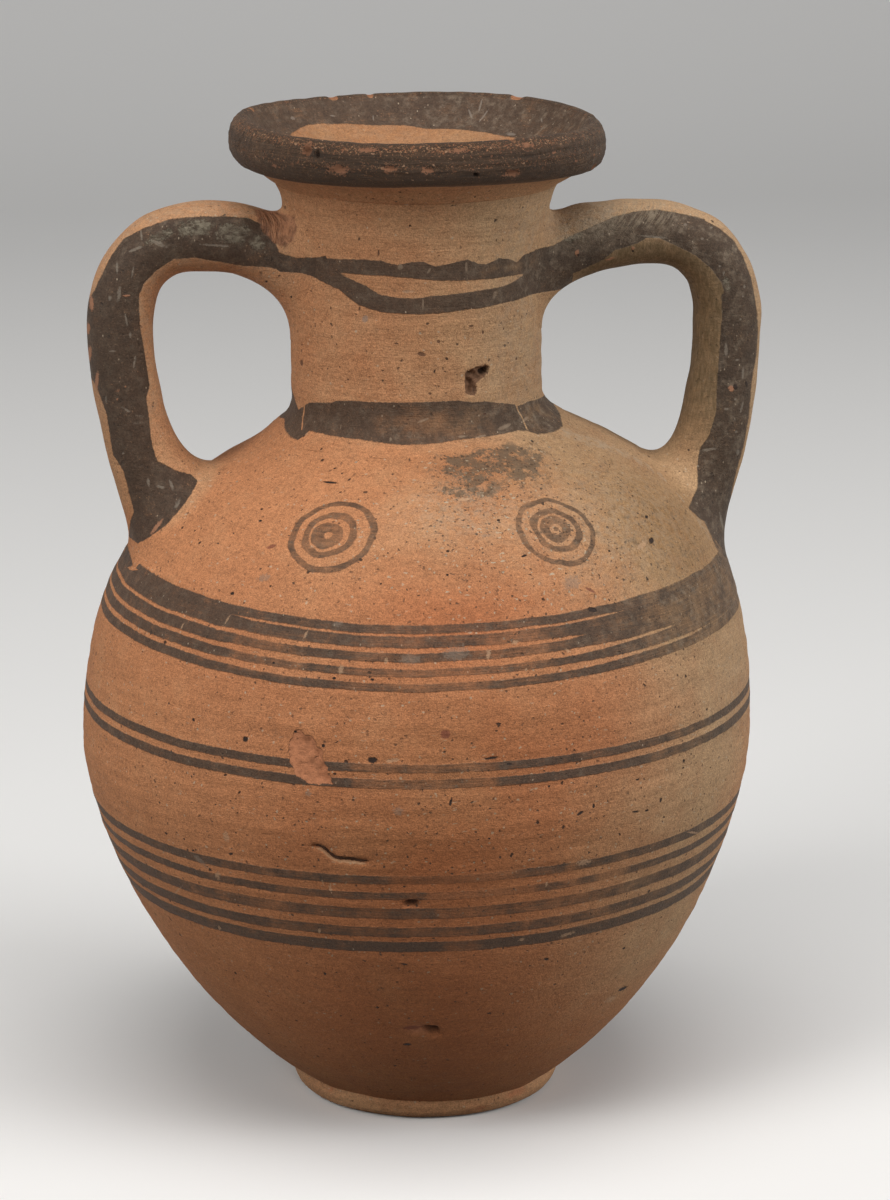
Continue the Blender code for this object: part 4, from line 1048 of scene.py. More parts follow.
def make_strap(name, side, seed):
    """A strap handle: an oval section carried along its middle line, whose lines at each end leave
    the strap, bend along a parabola and run out flush on the wall. side is 1 at the right, or -1."""
    line = strap_line()
    run = lengths(line)
    along = np.gradient(line, run, axis=0)
    along /= np.hypot(*along.T)[:, None]
    turns = np.linspace(0.0, 2 * math.pi, 120, endpoint=False)
    middle = (run / run[-1])[:, None]
    swell = 1 + 0.03 * np.sin(middle * 9.0 + seed) + 0.02 * np.sin(middle * 23.0 + 2.0 * seed)
    thick = STRAP_HALF_THICK * swell * (1 + 0.05 * np.abs(2 * middle - 1) ** 3)
    wide = STRAP_HALF_WIDE * swell * (1 + 0.08 * np.abs(2 * middle - 1) ** 4)
    blunt = (np.abs(np.cos(turns)) ** BLUNTNESS + np.abs(np.sin(turns)) ** BLUNTNESS) ** (-1 / BLUNTNESS)
    out = thick * (blunt * np.cos(turns))[None, :]
    front = wide * (blunt * np.sin(turns))[None, :]
    dents = 0.07 * ripples(run[:, None], 6.0 * turns[None, :] / 1.2, 40 + seed, 5.0, 16.0)
    out = out + dents * np.cos(turns)
    rho = line[:, :1] - along[:, 1:] * out
    z = line[:, 1:] + along[:, :1] * out
    arch = smooth(134.0, 143.0, z) * smooth(24.0, 31.0, rho) * (1 - smooth(45.0, 50.0, rho))
    x = np.interp(z, STRAP_SHIFT_HEIGHTS, STRAP_SHIFTS) + side * rho
    lines = np.stack([x, -front, z - 0.45 * side * arch], -1)
    outside = above_wall(lines) > 0
    half = len(run) // 2
    first = half - np.argmax(~outside[:half][::-1], axis=0)
    last = half + np.argmax(~outside[half:], axis=0)
    column = np.arange(len(turns))

    def at(length):
        """Points of each of the section's lines at a length along the middle line."""
        return np.stack([
            np.stack([np.interp(length[..., c], run, lines[:, c, k]) for c in column], -1) for k in range(3)
        ], -1)

    up_a, up_b, low_a, low_b = (root_lengths(turns, *reach) for reach in ROOT_REACHES[side])
    start, stop = run[first] + up_a, run[last] - low_a
    share = np.linspace(0.0, 1.0, 190)[:, None]
    strap = at(start[None, :] * (1 - share) + stop[None, :] * share)

    def root(pierce, leave, reach, samples):
        """Rings from the strap down to the wall: (1-t)^2 leave + 2t(1-t) pierce + t^2 reach."""
        t = np.linspace(0.0, 1.0, samples)[1:, None, None]
        centre = pierce.mean(0)
        radial = pierce - centre
        wall_there = on_wall(pierce)
        off = on_wall(pierce, 1.0) - wall_there
        off /= np.linalg.norm(off, axis=-1, keepdims=True)
        radial -= (radial * off).sum(-1, keepdims=True) * off
        radial /= np.linalg.norm(radial, axis=-1, keepdims=True)
        foot = on_wall(wall_there + reach[:, None] * radial, 0.03)
        rings = (1 - t) ** 2 * leave + 2 * t * (1 - t) * wall_there + t * t * foot
        beyond = on_wall(foot + 0.5 * radial, -0.25)
        return np.concatenate([rings, beyond[None], on_wall(foot, -1.2)[None]])

    upper = root(at(run[first][None, :])[0], strap[0], up_b, 26)[::-1]
    lower = root(at(run[last][None, :])[0], strap[-1], low_b, 26)
    points = np.concatenate([upper, strap, lower])
    x, height = seen_on_plane(points)
    area = edge_distance(x, height, LEFT_PAINT if side < 0 else RIGHT_PAINT)
    stroke = STROKE_UNDER_LEFT if side < 0 else STROKE_UNDER_RIGHT
    area = np.maximum(area, edge_distance(x, height, stroke))
    azimuth, _ = polar(points)
    from_axis, level = np.hypot(points[..., 0], points[..., 1]), points[..., 2]
    joined = np.maximum(smooth(27.0, 21.5, from_axis), smooth(104.0, 99.0, level))
    joined = np.maximum(joined, smooth(2.6, 0.3, above_wall(points)))
    wall_buff, flush, _ = clay_tones(azimuth, level)
    by_neck = (level > 125.0) & (np.abs(points[..., 0]) < 24.0)
    area = np.where(by_neck, np.maximum(area, neck_paint(azimuth, level)), area)
    buff = wall_buff * joined + (0.5 if side < 0 else 1.0) * (1 - joined)
    # The wall's painted shade, carried onto the strap's roots.
    dusk = surface_fields(azimuth, level)[2] * joined
    before = points[..., 1] < lean(0.0)
    torn = np.where(before & (side < 0), edge_distance(x, height, TORN), -BREAK_REACH)
    hatch = np.exp(-(((x - 35.0) / 6.5) ** 4) - ((height - 149.0) / 2.6) ** 2) * (side > 0)
    web = np.exp(-(((x - 25.8) / 5.6) ** 4) - ((height - 148.0) / 3.0) ** 2) * (side > 0)
    dust = (0.3 if side < 0 else 0.75) + 0.5 * web + 0.35 * smooth(141.0, 148.0, height)
    dust = dust + 0.5 * np.exp(-(((x - 22.5) / 4.0) ** 4) - ((height - 143.0) / 3.0) ** 2) * (side > 0)
    # Painted shade: the right strap's inner face, towards its loop, darkened to olive.
    shade = smooth(0.3, -0.3, np.cos(turns)) * (side > 0) * smooth(103.0, 120.0, height) * (1 - joined)
    kinds = LEFT_STRAP_MARKS if side < 0 else RIGHT_STRAP_MARKS
    marks = dict(mark_fields(x.shape, kinds, lambda a, b: (x - a, height - b)))
    for field in marks.values():
        field[..., 2] *= before
    return skin(
        name, points, poles=True, flip=side < 0, area=np.clip(area, -PAINT_REACH, PAINT_REACH), thin=0.14,
        bare=0.0, broken=-BREAK_REACH, hollow=0.0, buff=np.clip(buff, 0, 1), flush=flush * joined, stain=0.0,
        torn=np.clip(torn, -BREAK_REACH, BREAK_REACH), hatch=hatch, shade=shade, dusk=dusk,
        dust=np.clip(dust, 0, 1), grit=0.7 + 1.2 * web, web=web,
        film=np.clip(1.3 * web + 0.4 * (1 - joined) * smooth(112.0, 120.0, height), 0, 1), **marks,
    )


# Colours, linear
ORANGE_CLAY = (0.47, 0.205, 0.092, 1.0)
BUFF_CLAY = (0.42, 0.262, 0.142, 1.0)
RED_CLAY = (0.40, 0.140, 0.056, 1.0)
BROKEN_CLAY = (0.53, 0.215, 0.105, 1.0)
BROKEN_SHADE = (0.3286, 0.1333, 0.0651, 1.0)
GOUGE_CLAY = (0.135, 0.062, 0.034, 1.0)
GOUGE_SHADE = (0.0837, 0.03844, 0.02108, 1.0)
TORN_CLAY = (0.43, 0.20, 0.105, 1.0)
TORN_STREAK = (0.17, 0.074, 0.042, 1.0)
SOOTY_CLAY = (0.125, 0.088, 0.058, 1.0)
# Painted shade of the right strap's inner face
OLIVE_CLAY = (0.105, 0.069, 0.032, 1.0)
PITTED_CLAY = (0.10, 0.052, 0.030, 1.0)
DARK_SPECK = (0.075, 0.042, 0.026, 1.0)
DARK_DASH = (0.16, 0.080, 0.045, 1.0)
# Painted shade in hollows, pores, pits and the crack
HOLLOW_DARK = (0.022, 0.011, 0.007, 1.0)
# Painted shade, multiplied into the clay
DUSK = (0.57, 0.50, 0.375, 1.0)
DARK_PAINT = (0.056, 0.0345, 0.022, 1.0)
BROWN_PAINT = (0.092, 0.048, 0.025, 1.0)
PALE_DUST = (0.50, 0.40, 0.29, 1.0)
FILM_DUST = (0.20, 0.155, 0.112, 1.0)
CLAY_FILM = (0.40, 0.315, 0.225, 1.0)
GREY_CRUST = (0.24, 0.205, 0.148, 1.0)
PALE_STROKES = (0.26, 0.205, 0.14, 1.0)
# Painted highlight on the crack's lower lip
CRACK_LIP = (0.48, 0.30, 0.17, 1.0)
# Painted shade on the lip's front, and in its grooves
LIP_FACE = (0.056, 0.030, 0.015, 1.0)
LIP_RUBBED = (0.15, 0.075, 0.042, 1.0)
LIP_GROOVE = (0.018, 0.0115, 0.0075, 1.0)
LIP_ORANGE = (0.42, 0.165, 0.072, 1.0)
LIP_PALE = (0.56, 0.33, 0.175, 1.0)
LIP_FLECK = (0.36, 0.155, 0.078, 1.0)
PALE_FLECK = (0.55, 0.38, 0.24, 1.0)
HALF = (0.5, 0.5, 0.5)

# Small marks of each piece: their attribute, colour, strength, relief in mm, and raggedness. The pits are
# dark with painted shade.
BODY_MARK_LOOKS = (
    ("grey_marks", (0.22, 0.17, 0.13, 1.0), 0.45, 0.0, 3.0),
    ("red_marks", (0.16, 0.045, 0.028, 1.0), 0.75, -0.03, 0.9),
    ("scars", (0.50, 0.31, 0.185, 1.0), 0.55, -0.06, 2.8),
    ("pits", HOLLOW_DARK, 1.0, -0.35, 1.3),
)
NECK_MARK_LOOKS = (
    ("grey_marks", (0.24, 0.22, 0.20, 1.0), 0.5, 0.0, 1.2),
    ("scars", (0.42, 0.31, 0.215, 1.0), 0.35, -0.03, 1.8),
    ("pits", (0.10, 0.045, 0.025, 1.0), 0.85, -0.2, 1.0),
)
LIP_MARK_LOOKS = (
    ("scars", (0.36, 0.165, 0.088, 1.0), 0.9, -0.12, 4.2),
    ("scratches", (0.34, 0.29, 0.24, 1.0), 0.4, 0.0, 1.8),
)
STRAP_MARK_LOOKS = (
    ("scars", (0.34, 0.29, 0.23, 1.0), 0.38, 0.02, 2.2),
    ("chips", (0.38, 0.18, 0.10, 1.0), 0.85, -0.06, 1.8),
    ("pits", HOLLOW_DARK, 0.95, -0.3, 0.9),
)


class Wiring:
    """Adds nodes to one node tree. A socket is joined to the one given, or set to the value given."""

    def __init__(self, tree):
        self.tree = tree

    def fill(self, node, inputs):
        """Gives a node's inputs their sockets or values."""
        for key, value in inputs.items():
            if isinstance(value, bpy.types.NodeSocket):
                self.tree.links.new(value, node.inputs[key])
            else:
                node.inputs[key].default_value = value
        return node

    def add(self, kind, inputs=(), **settings):
        """A new node with these settings and inputs."""
        node = self.tree.nodes.new(kind)
        for key, value in settings.items():
            setattr(node, key, value)
        return self.fill(node, dict(inputs))

    def use(self, group, inputs):
        """Outputs of a node group with these inputs."""
        return self.fill(self.add("ShaderNodeGroup", node_tree=group), inputs).outputs

    def calc(self, operation, *values, clamp=False):
        """A sum of one, two or three values. Those used most have names of their own below."""
        return self.add("ShaderNodeMath", enumerate(values), operation=operation, use_clamp=clamp).outputs[0]

    plus = partialmethod(calc, "ADD")
    less = partialmethod(calc, "SUBTRACT")
    times = partialmethod(calc, "MULTIPLY")
    times_plus = partialmethod(calc, "MULTIPLY_ADD")
    most = partialmethod(calc, "MAXIMUM")
    least = partialmethod(calc, "MINIMUM")
    over = partialmethod(calc, "GREATER_THAN")
    under = partialmethod(calc, "LESS_THAN")

    def vary(self, noise, amount, base=None):
        """(noise - 0.5) x amount, and onto a base where one is given."""
        swing = self.less(noise, 0.5)
        return self.times(swing, amount) if base is None else self.times_plus(swing, amount, base)

    def ramp(self, value, low, high, start=0.0, end=1.0):
        """From start at low to end at high, as 3t^2 - 2t^3 between."""
        inputs = {"Value": value, "From Min": low, "From Max": high, "To Min": start, "To Max": end}
        return self.add("ShaderNodeMapRange", inputs, interpolation_type="SMOOTHSTEP").outputs[0]

    def blend(self, share, first, second, kind="MIX"):
        """From the first colour to the second, by a share from 0 to 1."""
        node = self.add("ShaderNodeMix", {0: share, 6: first, 7: second}, data_type="RGBA", blend_type=kind)
        return node.outputs[2]

    def lay(self, colour, tone, mask, amount):
        """The colour with a tone over it, as far as mask x amount."""
        return self.blend(self.times(mask, amount), colour, tone)

    def shaded(self, colour, level):
        """The colour times a number."""
        return self.blend(1.0, colour, self.joined(level, level, level), "MULTIPLY")

    def vector(self, operation, *values, output=0):
        """A sum of vectors."""
        return self.add("ShaderNodeVectorMath", enumerate(values), operation=operation).outputs[output]

    def stretched(self, place, x, y, z):
        """A place with each coordinate times a number of its own."""
        return self.vector("MULTIPLY", place, (x, y, z))

    def fibres(self, place, across, along, fine, coarse):
        """Places told by how far they lie across and along fibres, each times its scale."""
        first, second = (self.vector("DOT_PRODUCT", place, way, output="Value") for way in (across, along))
        return self.joined(self.times(first, fine), self.times(second, coarse))

    def parts(self, place):
        """The three coordinates of a place."""
        return self.add("ShaderNodeSeparateXYZ", {0: place}).outputs

    def joined(self, x, y, z=0.0):
        """A place from its coordinates."""
        return self.add("ShaderNodeCombineXYZ", {0: x, 1: y, 2: z}).outputs[0]

    def noise(self, place, scale, detail=3.0, roughness=0.55, output="Fac"):
        """Smooth noise from 0 to 1, its grains 1 / scale wide."""
        inputs = {"Vector": place, "Scale": scale, "Detail": detail, "Roughness": roughness}
        return self.add("ShaderNodeTexNoise", inputs).outputs[output]

    def bent(self, place, scale, detail, amount):
        """Places moved by up to an amount, each way by its own noise."""
        moved = self.noise(place, scale, detail, 0.5, "Color")
        return self.vector("MULTIPLY_ADD", moved, (amount, amount, amount), place)

    def cells(self, place, scale):
        """Distance from the nearest of many scattered points, and three chances of that point's own."""
        made = self.add("ShaderNodeTexVoronoi", {"Vector": place, "Scale": scale, "Randomness": 1.0}).outputs
        return made["Distance"], self.add("ShaderNodeSeparateColor", {0: made["Color"]}).outputs

    def field(self, name, output="Fac"):
        """An attribute of the mesh."""
        return self.add("ShaderNodeAttribute", attribute_name=name).outputs[output]


def group(name, inputs, outputs):
    """An empty shader group with named sockets, and its wiring, inputs and output node. An input is
    a number with its first value, or else its kind is named."""
    tree = bpy.data.node_groups.new(name, "ShaderNodeTree")
    for label, value in inputs.items():
        kind = "Float" if isinstance(value, float) else value
        socket = tree.interface.new_socket(label, in_out="INPUT", socket_type="NodeSocket" + kind)
        if kind == "Float":
            socket.default_value = value
    for label, kind in outputs.items():
        tree.interface.new_socket(label, in_out="OUTPUT", socket_type="NodeSocket" + kind)
    made, given = tree.nodes.new("NodeGroupOutput"), tree.nodes.new("NodeGroupInput")
    return tree, Wiring(tree), given.outputs, made.inputs


def join(tree, sockets, values):
    """Joins each value's socket to the socket of its name."""
    for key, value in values.items():
        tree.links.new(value, sockets[key])


def clay_group():
    """Fired clay: orange, buff or flushed, mottled and grained, with specks, pores and wheel lines."""
    tree, w, i, o = group(
        "fired_clay",
        {"Place": "Vector", "Buff": 0.0, "Flush": 0.0, "Stain": 0.0, "Pores": 1.0, "Streaks": 1.0,
         "Specks": 1.0},
        {"Colour": "Color", "Height": "Float"},
    )
    place = i["Place"]
    broad = w.noise(place, 0.035, 2.0)
    mottle = w.noise(place, 0.16, 4.0, 0.62)
    patchy = w.noise(place, 0.55, 4.0, 0.68)
    fine = w.noise(place, 1.7, 3.0, 0.65)
    grain = w.noise(place, 5.0, 1.0, 0.6)
    wheel = w.noise(w.stretched(place, 0.06, 0.06, 1.3), 1.0, 3.0, 0.6)
    buff = w.plus(i["Buff"], w.vary(mottle, 0.9), clamp=True)
    colour = w.blend(buff, ORANGE_CLAY, BUFF_CLAY)
    flush = w.times(i["Flush"], w.ramp(broad, 0.2, 0.55), clamp=True)
    colour = w.blend(flush, colour, RED_CLAY)
    level = 1.0
    for noise, amount in ((mottle, 0.36), (broad, 0.25), (patchy, 0.35), (fine, 0.95), (grain, 1.35)):
        level = w.vary(noise, amount, level)
    streak = w.vary(wheel, i["Streaks"])
    level = w.times_plus(streak, 0.4, level)
    hair = w.less(w.noise(w.stretched(place, 0.3, 0.3, 3.0), 1.0, 3.0, 0.65), 0.5)
    level = w.times_plus(hair, 0.38, level)
    colour = w.shaded(colour, level)
    sooty = w.times_plus(i["Stain"], 0.15, w.noise(place, 0.5, 8.0, 0.82))
    soot = w.times(w.ramp(sooty, 0.58, 0.66), w.times_plus(i["Stain"], 0.9, 0.3), clamp=True)
    colour = w.lay(colour, SOOTY_CLAY, soot, 0.85)
    bent = w.bent(place, 1.3, 1.0, 0.7)
    away, chance = w.cells(bent, 0.5)
    radius = w.times(w.ramp(chance[1], 0.1, 1.0, 0.05, 0.15), i["Pores"])
    pore = w.times(w.ramp(w.less(away, radius), -0.03, 0.03, 1.0, 0.0), w.over(chance[0], 0.8))
    away, odds = w.cells(bent, 1.7)
    speck = w.ramp(away, 0.22, 0.42, 1.0, 0.0)
    often = w.times_plus(i["Stain"], -0.5, w.times_plus(i["Specks"], -0.085, 1.0))
    dark_speck = w.times(speck, w.over(odds[0], often))
    pale_speck = w.times(speck, w.under(odds[1], w.times(i["Specks"], 0.05)))
    colour = w.lay(colour, DARK_SPECK, dark_speck, w.ramp(odds[2], 0.0, 1.0, 0.4, 0.95))
    colour = w.lay(colour, PALE_DUST, pale_speck, 0.65)
    low = w.times_plus(i["Specks"], 0.022, 0.285)
    pitted = w.ramp(w.less(w.noise(place, 3.0, 5.0, 0.8), low), 0.0, 0.04, 1.0, 0.0)
    colour = w.lay(colour, PITTED_CLAY, pitted, 0.6)
    away, share = w.cells(w.stretched(bent, 0.5, 0.5, 2.4), 1.3)
    dash = w.times(w.ramp(away, 0.16, 0.34, 1.0, 0.0), w.times(i["Specks"], 0.5))
    colour = w.lay(colour, DARK_DASH, dash, w.over(share[0], 0.94))
    colour = w.lay(colour, PALE_DUST, dash, w.under(share[0], 0.06))
    # Pores darkened with painted shade
    colour = w.lay(colour, HOLLOW_DARK, pore, 0.9)
    height = w.times(fine, 0.15)
    sunk = w.plus(dark_speck, pitted)
    for mask, relief in ((grain, 0.075), (hair, 0.07), (streak, 0.12), (pore, -0.16), (sunk, -0.09)):
        height = w.times_plus(mask, relief, height)
    join(tree, o, {"Colour": colour, "Height": height})
    return tree


def paint_group():
    """Matt dark slip over clay: ragged edges, brown where thin, with grain, flecks and a dusty film."""
    tree, w, i, o = group(
        "dark_slip",
        {"Place": "Vector", "Clay": "Color", "Height": 0.0, "Edge": -PAINT_REACH, "Thin": 0.2, "Wear": 0.3,
         "Dust": 0.3, "Strokes": 1.0, "Tone": 1.0},
        {"Colour": "Color", "Height": "Float", "Roughness": "Float"},
    )
    place = i["Place"]
    ragged = w.vary(w.noise(place, 1.3, 4.0, 0.65), 0.42)
    cover = w.ramp(w.plus(i["Edge"], ragged), -0.1, 0.1)
    patch = w.noise(place, 0.33, 4.0, 0.62)
    grit = w.noise(place, 3.2, 3.0, 0.7)
    hair = w.noise(w.stretched(place, 0.22, 0.22, 5.0), 1.0, 3.0, 0.6)
    thin = w.plus(i["Thin"], w.vary(patch, 1.0), clamp=True)
    thin = w.plus(thin, w.times(w.vary(hair, 0.7), i["Strokes"]), clamp=True)
    full = w.times_plus(w.ramp(thin, 0.2, 1.0), -0.62, 0.95)
    both = w.plus(w.times(grit, 0.7), w.times(patch, 0.3))
    low = w.times_plus(i["Wear"], -0.2, 0.70)
    rubbed = w.ramp(both, low, w.plus(low, 0.05))
    full = w.times(full, w.times_plus(rubbed, -0.7, 1.0))
    cover = w.times(cover, full)
    slip = w.blend(w.ramp(thin, 0.15, 0.9), DARK_PAINT, BROWN_PAINT)
    level = w.vary(patch, 0.9, i["Tone"])
    level = w.vary(w.noise(place, 0.9, 4.0, 0.7), 0.9, level)
    level = w.vary(grit, 2.8, level)
    slip = w.shaded(slip, w.most(level, 0.25))
    film = w.ramp(w.noise(place, 0.6, 5.0, 0.72), 0.45, 0.75)
    slip = w.lay(slip, FILM_DUST, w.times(film, i["Dust"]), 0.95)
    away, odds = w.cells(w.stretched(place, 1.0, 1.0, 0.6), 1.6)
    rare = w.times_plus(i["Dust"], -0.22, 1.0)
    fleck = w.times(w.ramp(away, 0.1, 0.24, 1.0, 0.0), w.over(odds[0], rare))
    slip = w.lay(slip, PALE_DUST, fleck, w.ramp(odds[1], 0.0, 1.0, 0.2, 0.8))
    colour = w.blend(cover, i["Clay"], slip)
    height = w.times_plus(cover, 0.035, i["Height"])
    height = w.times_plus(w.times(grit, cover), 0.1, height)
    rough = w.times_plus(cover, -0.12, 0.82)
    join(tree, o, {"Colour": colour, "Height": height, "Roughness": rough})
    return tree


def stripe_group():
    """Signed distance in mm to the edges of one level stripe: its half width less the distance to
    its middle height."""
    inputs = {"Height": 0.0, "Middle": 0.0, "Half width": 1.0}
    tree, w, i, o = group("level_stripe", inputs, {"Edge": "Float"})
    away = w.calc("ABSOLUTE", w.less(i["Height"], i["Middle"]))
    join(tree, o, {"Edge": w.less(i["Half width"], away)})
    return tree


def ring_group():
    """Signed distance in mm to the edges of a painted ring round a centre."""
    inputs = {"Place": "Vector", "Centre": "Vector", "Inner": 1.0, "Outer": 2.0}
    tree, w, i, o = group("painted_ring", inputs, {"Edge": "Float"})
    away = w.vector("DISTANCE", i["Place"], i["Centre"], output="Value")
    edge = w.least(w.less(i["Outer"], away), w.less(away, i["Inner"]))
    join(tree, o, {"Edge": edge})
    return tree


def mark_group():
    """Mask of the nearest oval mark, from the place in it: 1 inside, ragged at its edge."""
    inputs = {"Place": "Vector", "In mark": "Vector", "Ragged": 0.9}
    tree, w, i, o = group("oval_marks", inputs, {"Mask": "Float"})
    split = w.parts(i["In mark"])
    away = w.vector("LENGTH", w.joined(split[0], split[1]), output="Value")
    ragged = w.vary(w.noise(i["Place"], 2.4, 3.0, 0.7), i["Ragged"])
    inside = w.ramp(w.plus(away, ragged), 0.7, 1.15, 1.0, 0.0)
    join(tree, o, {"Mask": w.times(inside, split[2])})
    return tree


def line_group():
    """Masks beside the nearest line: 1 in the line's own width, and 1 just below it."""
    inputs = {"Place": "Vector", "By line": "Vector"}
    tree, w, i, o = group("line_marks", inputs, {"Mask": "Float", "Lower lip": "Float"})
    split = w.parts(i["By line"])
    ends = w.calc("POWER", w.calc("ABSOLUTE", split[0]), 10.0)
    ragged = w.vary(w.noise(i["Place"], 1.6, 2.0), 1.5)
    beside = w.plus(split[1], ragged)
    away = w.plus(w.calc("ABSOLUTE", beside), ends)
    under = w.plus(w.calc("ABSOLUTE", w.plus(beside, 1.9)), ends)
    join(tree, o, {"Mask": w.ramp(away, 0.8, 1.25, 1.0, 0.0), "Lower lip": w.ramp(under, 0.3, 1.1, 1.0, 0.0)})
    return tree


CLAY = clay_group()
SLIP = paint_group()
STRIPE = stripe_group()
RING = ring_group()
MARK = mark_group()
LINE = line_group()

# Stripes of the body: middle height and half width in mm. The top group is one wide stripe with gaps
# in it, whose half widths are attributes.
TOP_GROUP = (88.25, 4.82)
TOP_GAPS = ((91.68, "gap_1"), (89.5, "gap_2"), (87.3, "gap_3"), (85.15, "gap_4"))
MIDDLE_STRIPES = ((71.63, 0.68), (69.15, 0.74))
LOW_STRIPES = ((53.25, 0.76), (50.35, 0.68), (47.1, 1.0), (43.6, 0.92), (40.75, 1.0))

# Rings on the shoulder: azimuth, height, and inner and outer radii in mm
RINGS = (
    (-28.2, 105, 6.15, 7.25), (-28.8, 105, 3.4, 4.55), (-29.3, 104.9, 0.75, 2.7), (24.2, 104, 5.75, 6.7),
    (24.3, 104.1, 3.2, 4.25), (24.1, 104.2, 1.05, 2.6), (24.1, 104.2, -1, 0.4),
)
RING_SWAY = (1.1, 1.1, 1.1)

# Added to the signed distance to the paint where there is none
NO_PAINT = -40.0


def wall_place(azimuth, height):
    """The wall's place at an azimuth and height, in mm."""
    return tuple(float(v) for v in wall_point(azimuth, run_at(height)))


def clay_material(name, marks=(), finish=None, painted=None, clay_look=(), slip_look=(),
                  broken_tones=(BROKEN_CLAY, BROKEN_SHADE)):
    """The clay of one piece, with its paint, its marks and its relief. painted gives the signed
    distance to the paint's edge, and finish changes the colour and relief before the marks."""
    material = bpy.data.materials.new(name)
    material.use_nodes = True
    w = Wiring(material.node_tree)
    shader = material.node_tree.nodes["Principled BSDF"]
    shader.inputs["Metallic"].default_value = 0.0
    shader.inputs["Specular IOR Level"].default_value = 0.3
    place = w.stretched(w.add("ShaderNodeTexCoord").outputs["Object"], 1000.0, 1000.0, 1000.0)
    tones = {"Buff": w.field("buff"), "Flush": w.field("flush"), "Stain": w.field("stain")}
    looks = {"Pores": 1.0, "Streaks": 0.35, "Specks": w.field("grit"), **dict(clay_look)}
    clay = w.use(CLAY, {"Place": place, **tones, **looks})
    # Painted shade: the clay darkened as far as the dusk attribute says
    clay_colour = w.blend(w.times(w.field("dusk"), 0.9), clay["Colour"], DUSK, "MULTIPLY")
    filmed = w.times(w.field("film"), w.ramp(w.noise(place, 0.8, 5.0, 0.72), 0.38, 0.62))
    clay_colour = w.lay(clay_colour, CLAY_FILM, filmed, 0.6)
    # Painted shade on the right strap's inner face, olive and streaky
    streaky = w.ramp(w.noise(w.stretched(place, 2.2, 2.2, 0.5), 1.0, 4.0, 0.65), 0.3, 0.7, 0.6, 0.95)
    clay_colour = w.lay(clay_colour, OLIVE_CLAY, w.field("shade"), streaky)
    edge = painted(w, place) if painted else w.field("area")
    ragged = w.vary(w.noise(place, 1.5, 3.0), 0.8)
    broken = w.ramp(w.plus(w.field("broken"), ragged), -0.06, 0.08)
    bare = w.most(w.field("bare"), broken)
    edge = w.less(edge, w.times(w.ramp(bare, 0.25, 0.6), 20.0))
    rough_tone = w.blend(w.ramp(w.noise(place, 0.9, 4.0, 0.7), 0.35, 0.68), *broken_tones)
    clay_colour = w.lay(clay_colour, rough_tone, bare, 0.85)
    height = w.times_plus(broken, -0.22, clay["Height"])
    looks = {"Thin": w.field("thin"), "Wear": 0.42, "Dust": w.field("dust"), **dict(slip_look)}
    slip = w.use(SLIP, {"Place": place, "Clay": clay_colour, "Height": height, "Edge": edge, **looks})
    colour, height, rough = slip["Colour"], slip["Height"], slip["Roughness"]
    if finish:
        colour, height, rough = finish(w, place, colour, height, rough)
    for kind, tone, strength, relief, ragged in marks:
        mask = w.use(MARK, {"Place": place, "In mark": w.field(kind, "Vector"), "Ragged": ragged})["Mask"]
        colour = w.lay(colour, tone, mask, strength)
        height = w.times_plus(mask, relief, height)
    # Painted shade in the hollows: the dents, the slot, the gouge's arm and the deepest lip hollows
    colour = w.lay(colour, HOLLOW_DARK, w.field("hollow"), 0.88)
    normal = w.add("ShaderNodeBump", {"Height": height, "Distance": MM, "Strength": 1.0}).outputs[0]
    join(material.node_tree, shader.inputs, {"Base Color": colour, "Roughness": rough, "Normal": normal})
    return material


def body_finish(w, place, colour, height, rough):
    """Body: the crack, dark inside with painted shade, and pale on its lower lip with a painted highlight."""
    line = w.use(LINE, {"Place": place, "By line": w.field("crack", "Vector")})
    # Painted highlight on the crack's lower lip, then painted shade in the crack
    colour = w.lay(colour, CRACK_LIP, line["Lower lip"], 0.5)
    colour = w.lay(colour, HOLLOW_DARK, line["Mask"], 0.85)
    return colour, w.times_plus(line["Mask"], -0.35, height), rough


def torn_look(w, place, colour, height):
    """Torn clay beside the handle's root: reddish, with dark streaks along the tear."""
    ragged = w.vary(w.noise(place, 1.0, 3.0), 1.4)
    torn = w.ramp(w.plus(w.field("torn"), ragged), -0.15, 0.25)
    streak = w.noise(w.fibres(place, (0.9, 0.3, -0.35), (0.35, 0.0, 0.9), 1.7, 0.5), 1.0, 4.0, 0.65)
    tone = w.blend(w.ramp(streak, 0.42, 0.6), TORN_CLAY, TORN_STREAK)
    colour = w.lay(colour, tone, torn, 0.75)
    return colour, w.plus(w.times(torn, w.less(0.5, streak)), height)


def neck_finish(w, place, colour, height, rough):
    """Neck: the torn patch by the left handle."""
    return *torn_look(w, place, colour, height), rough


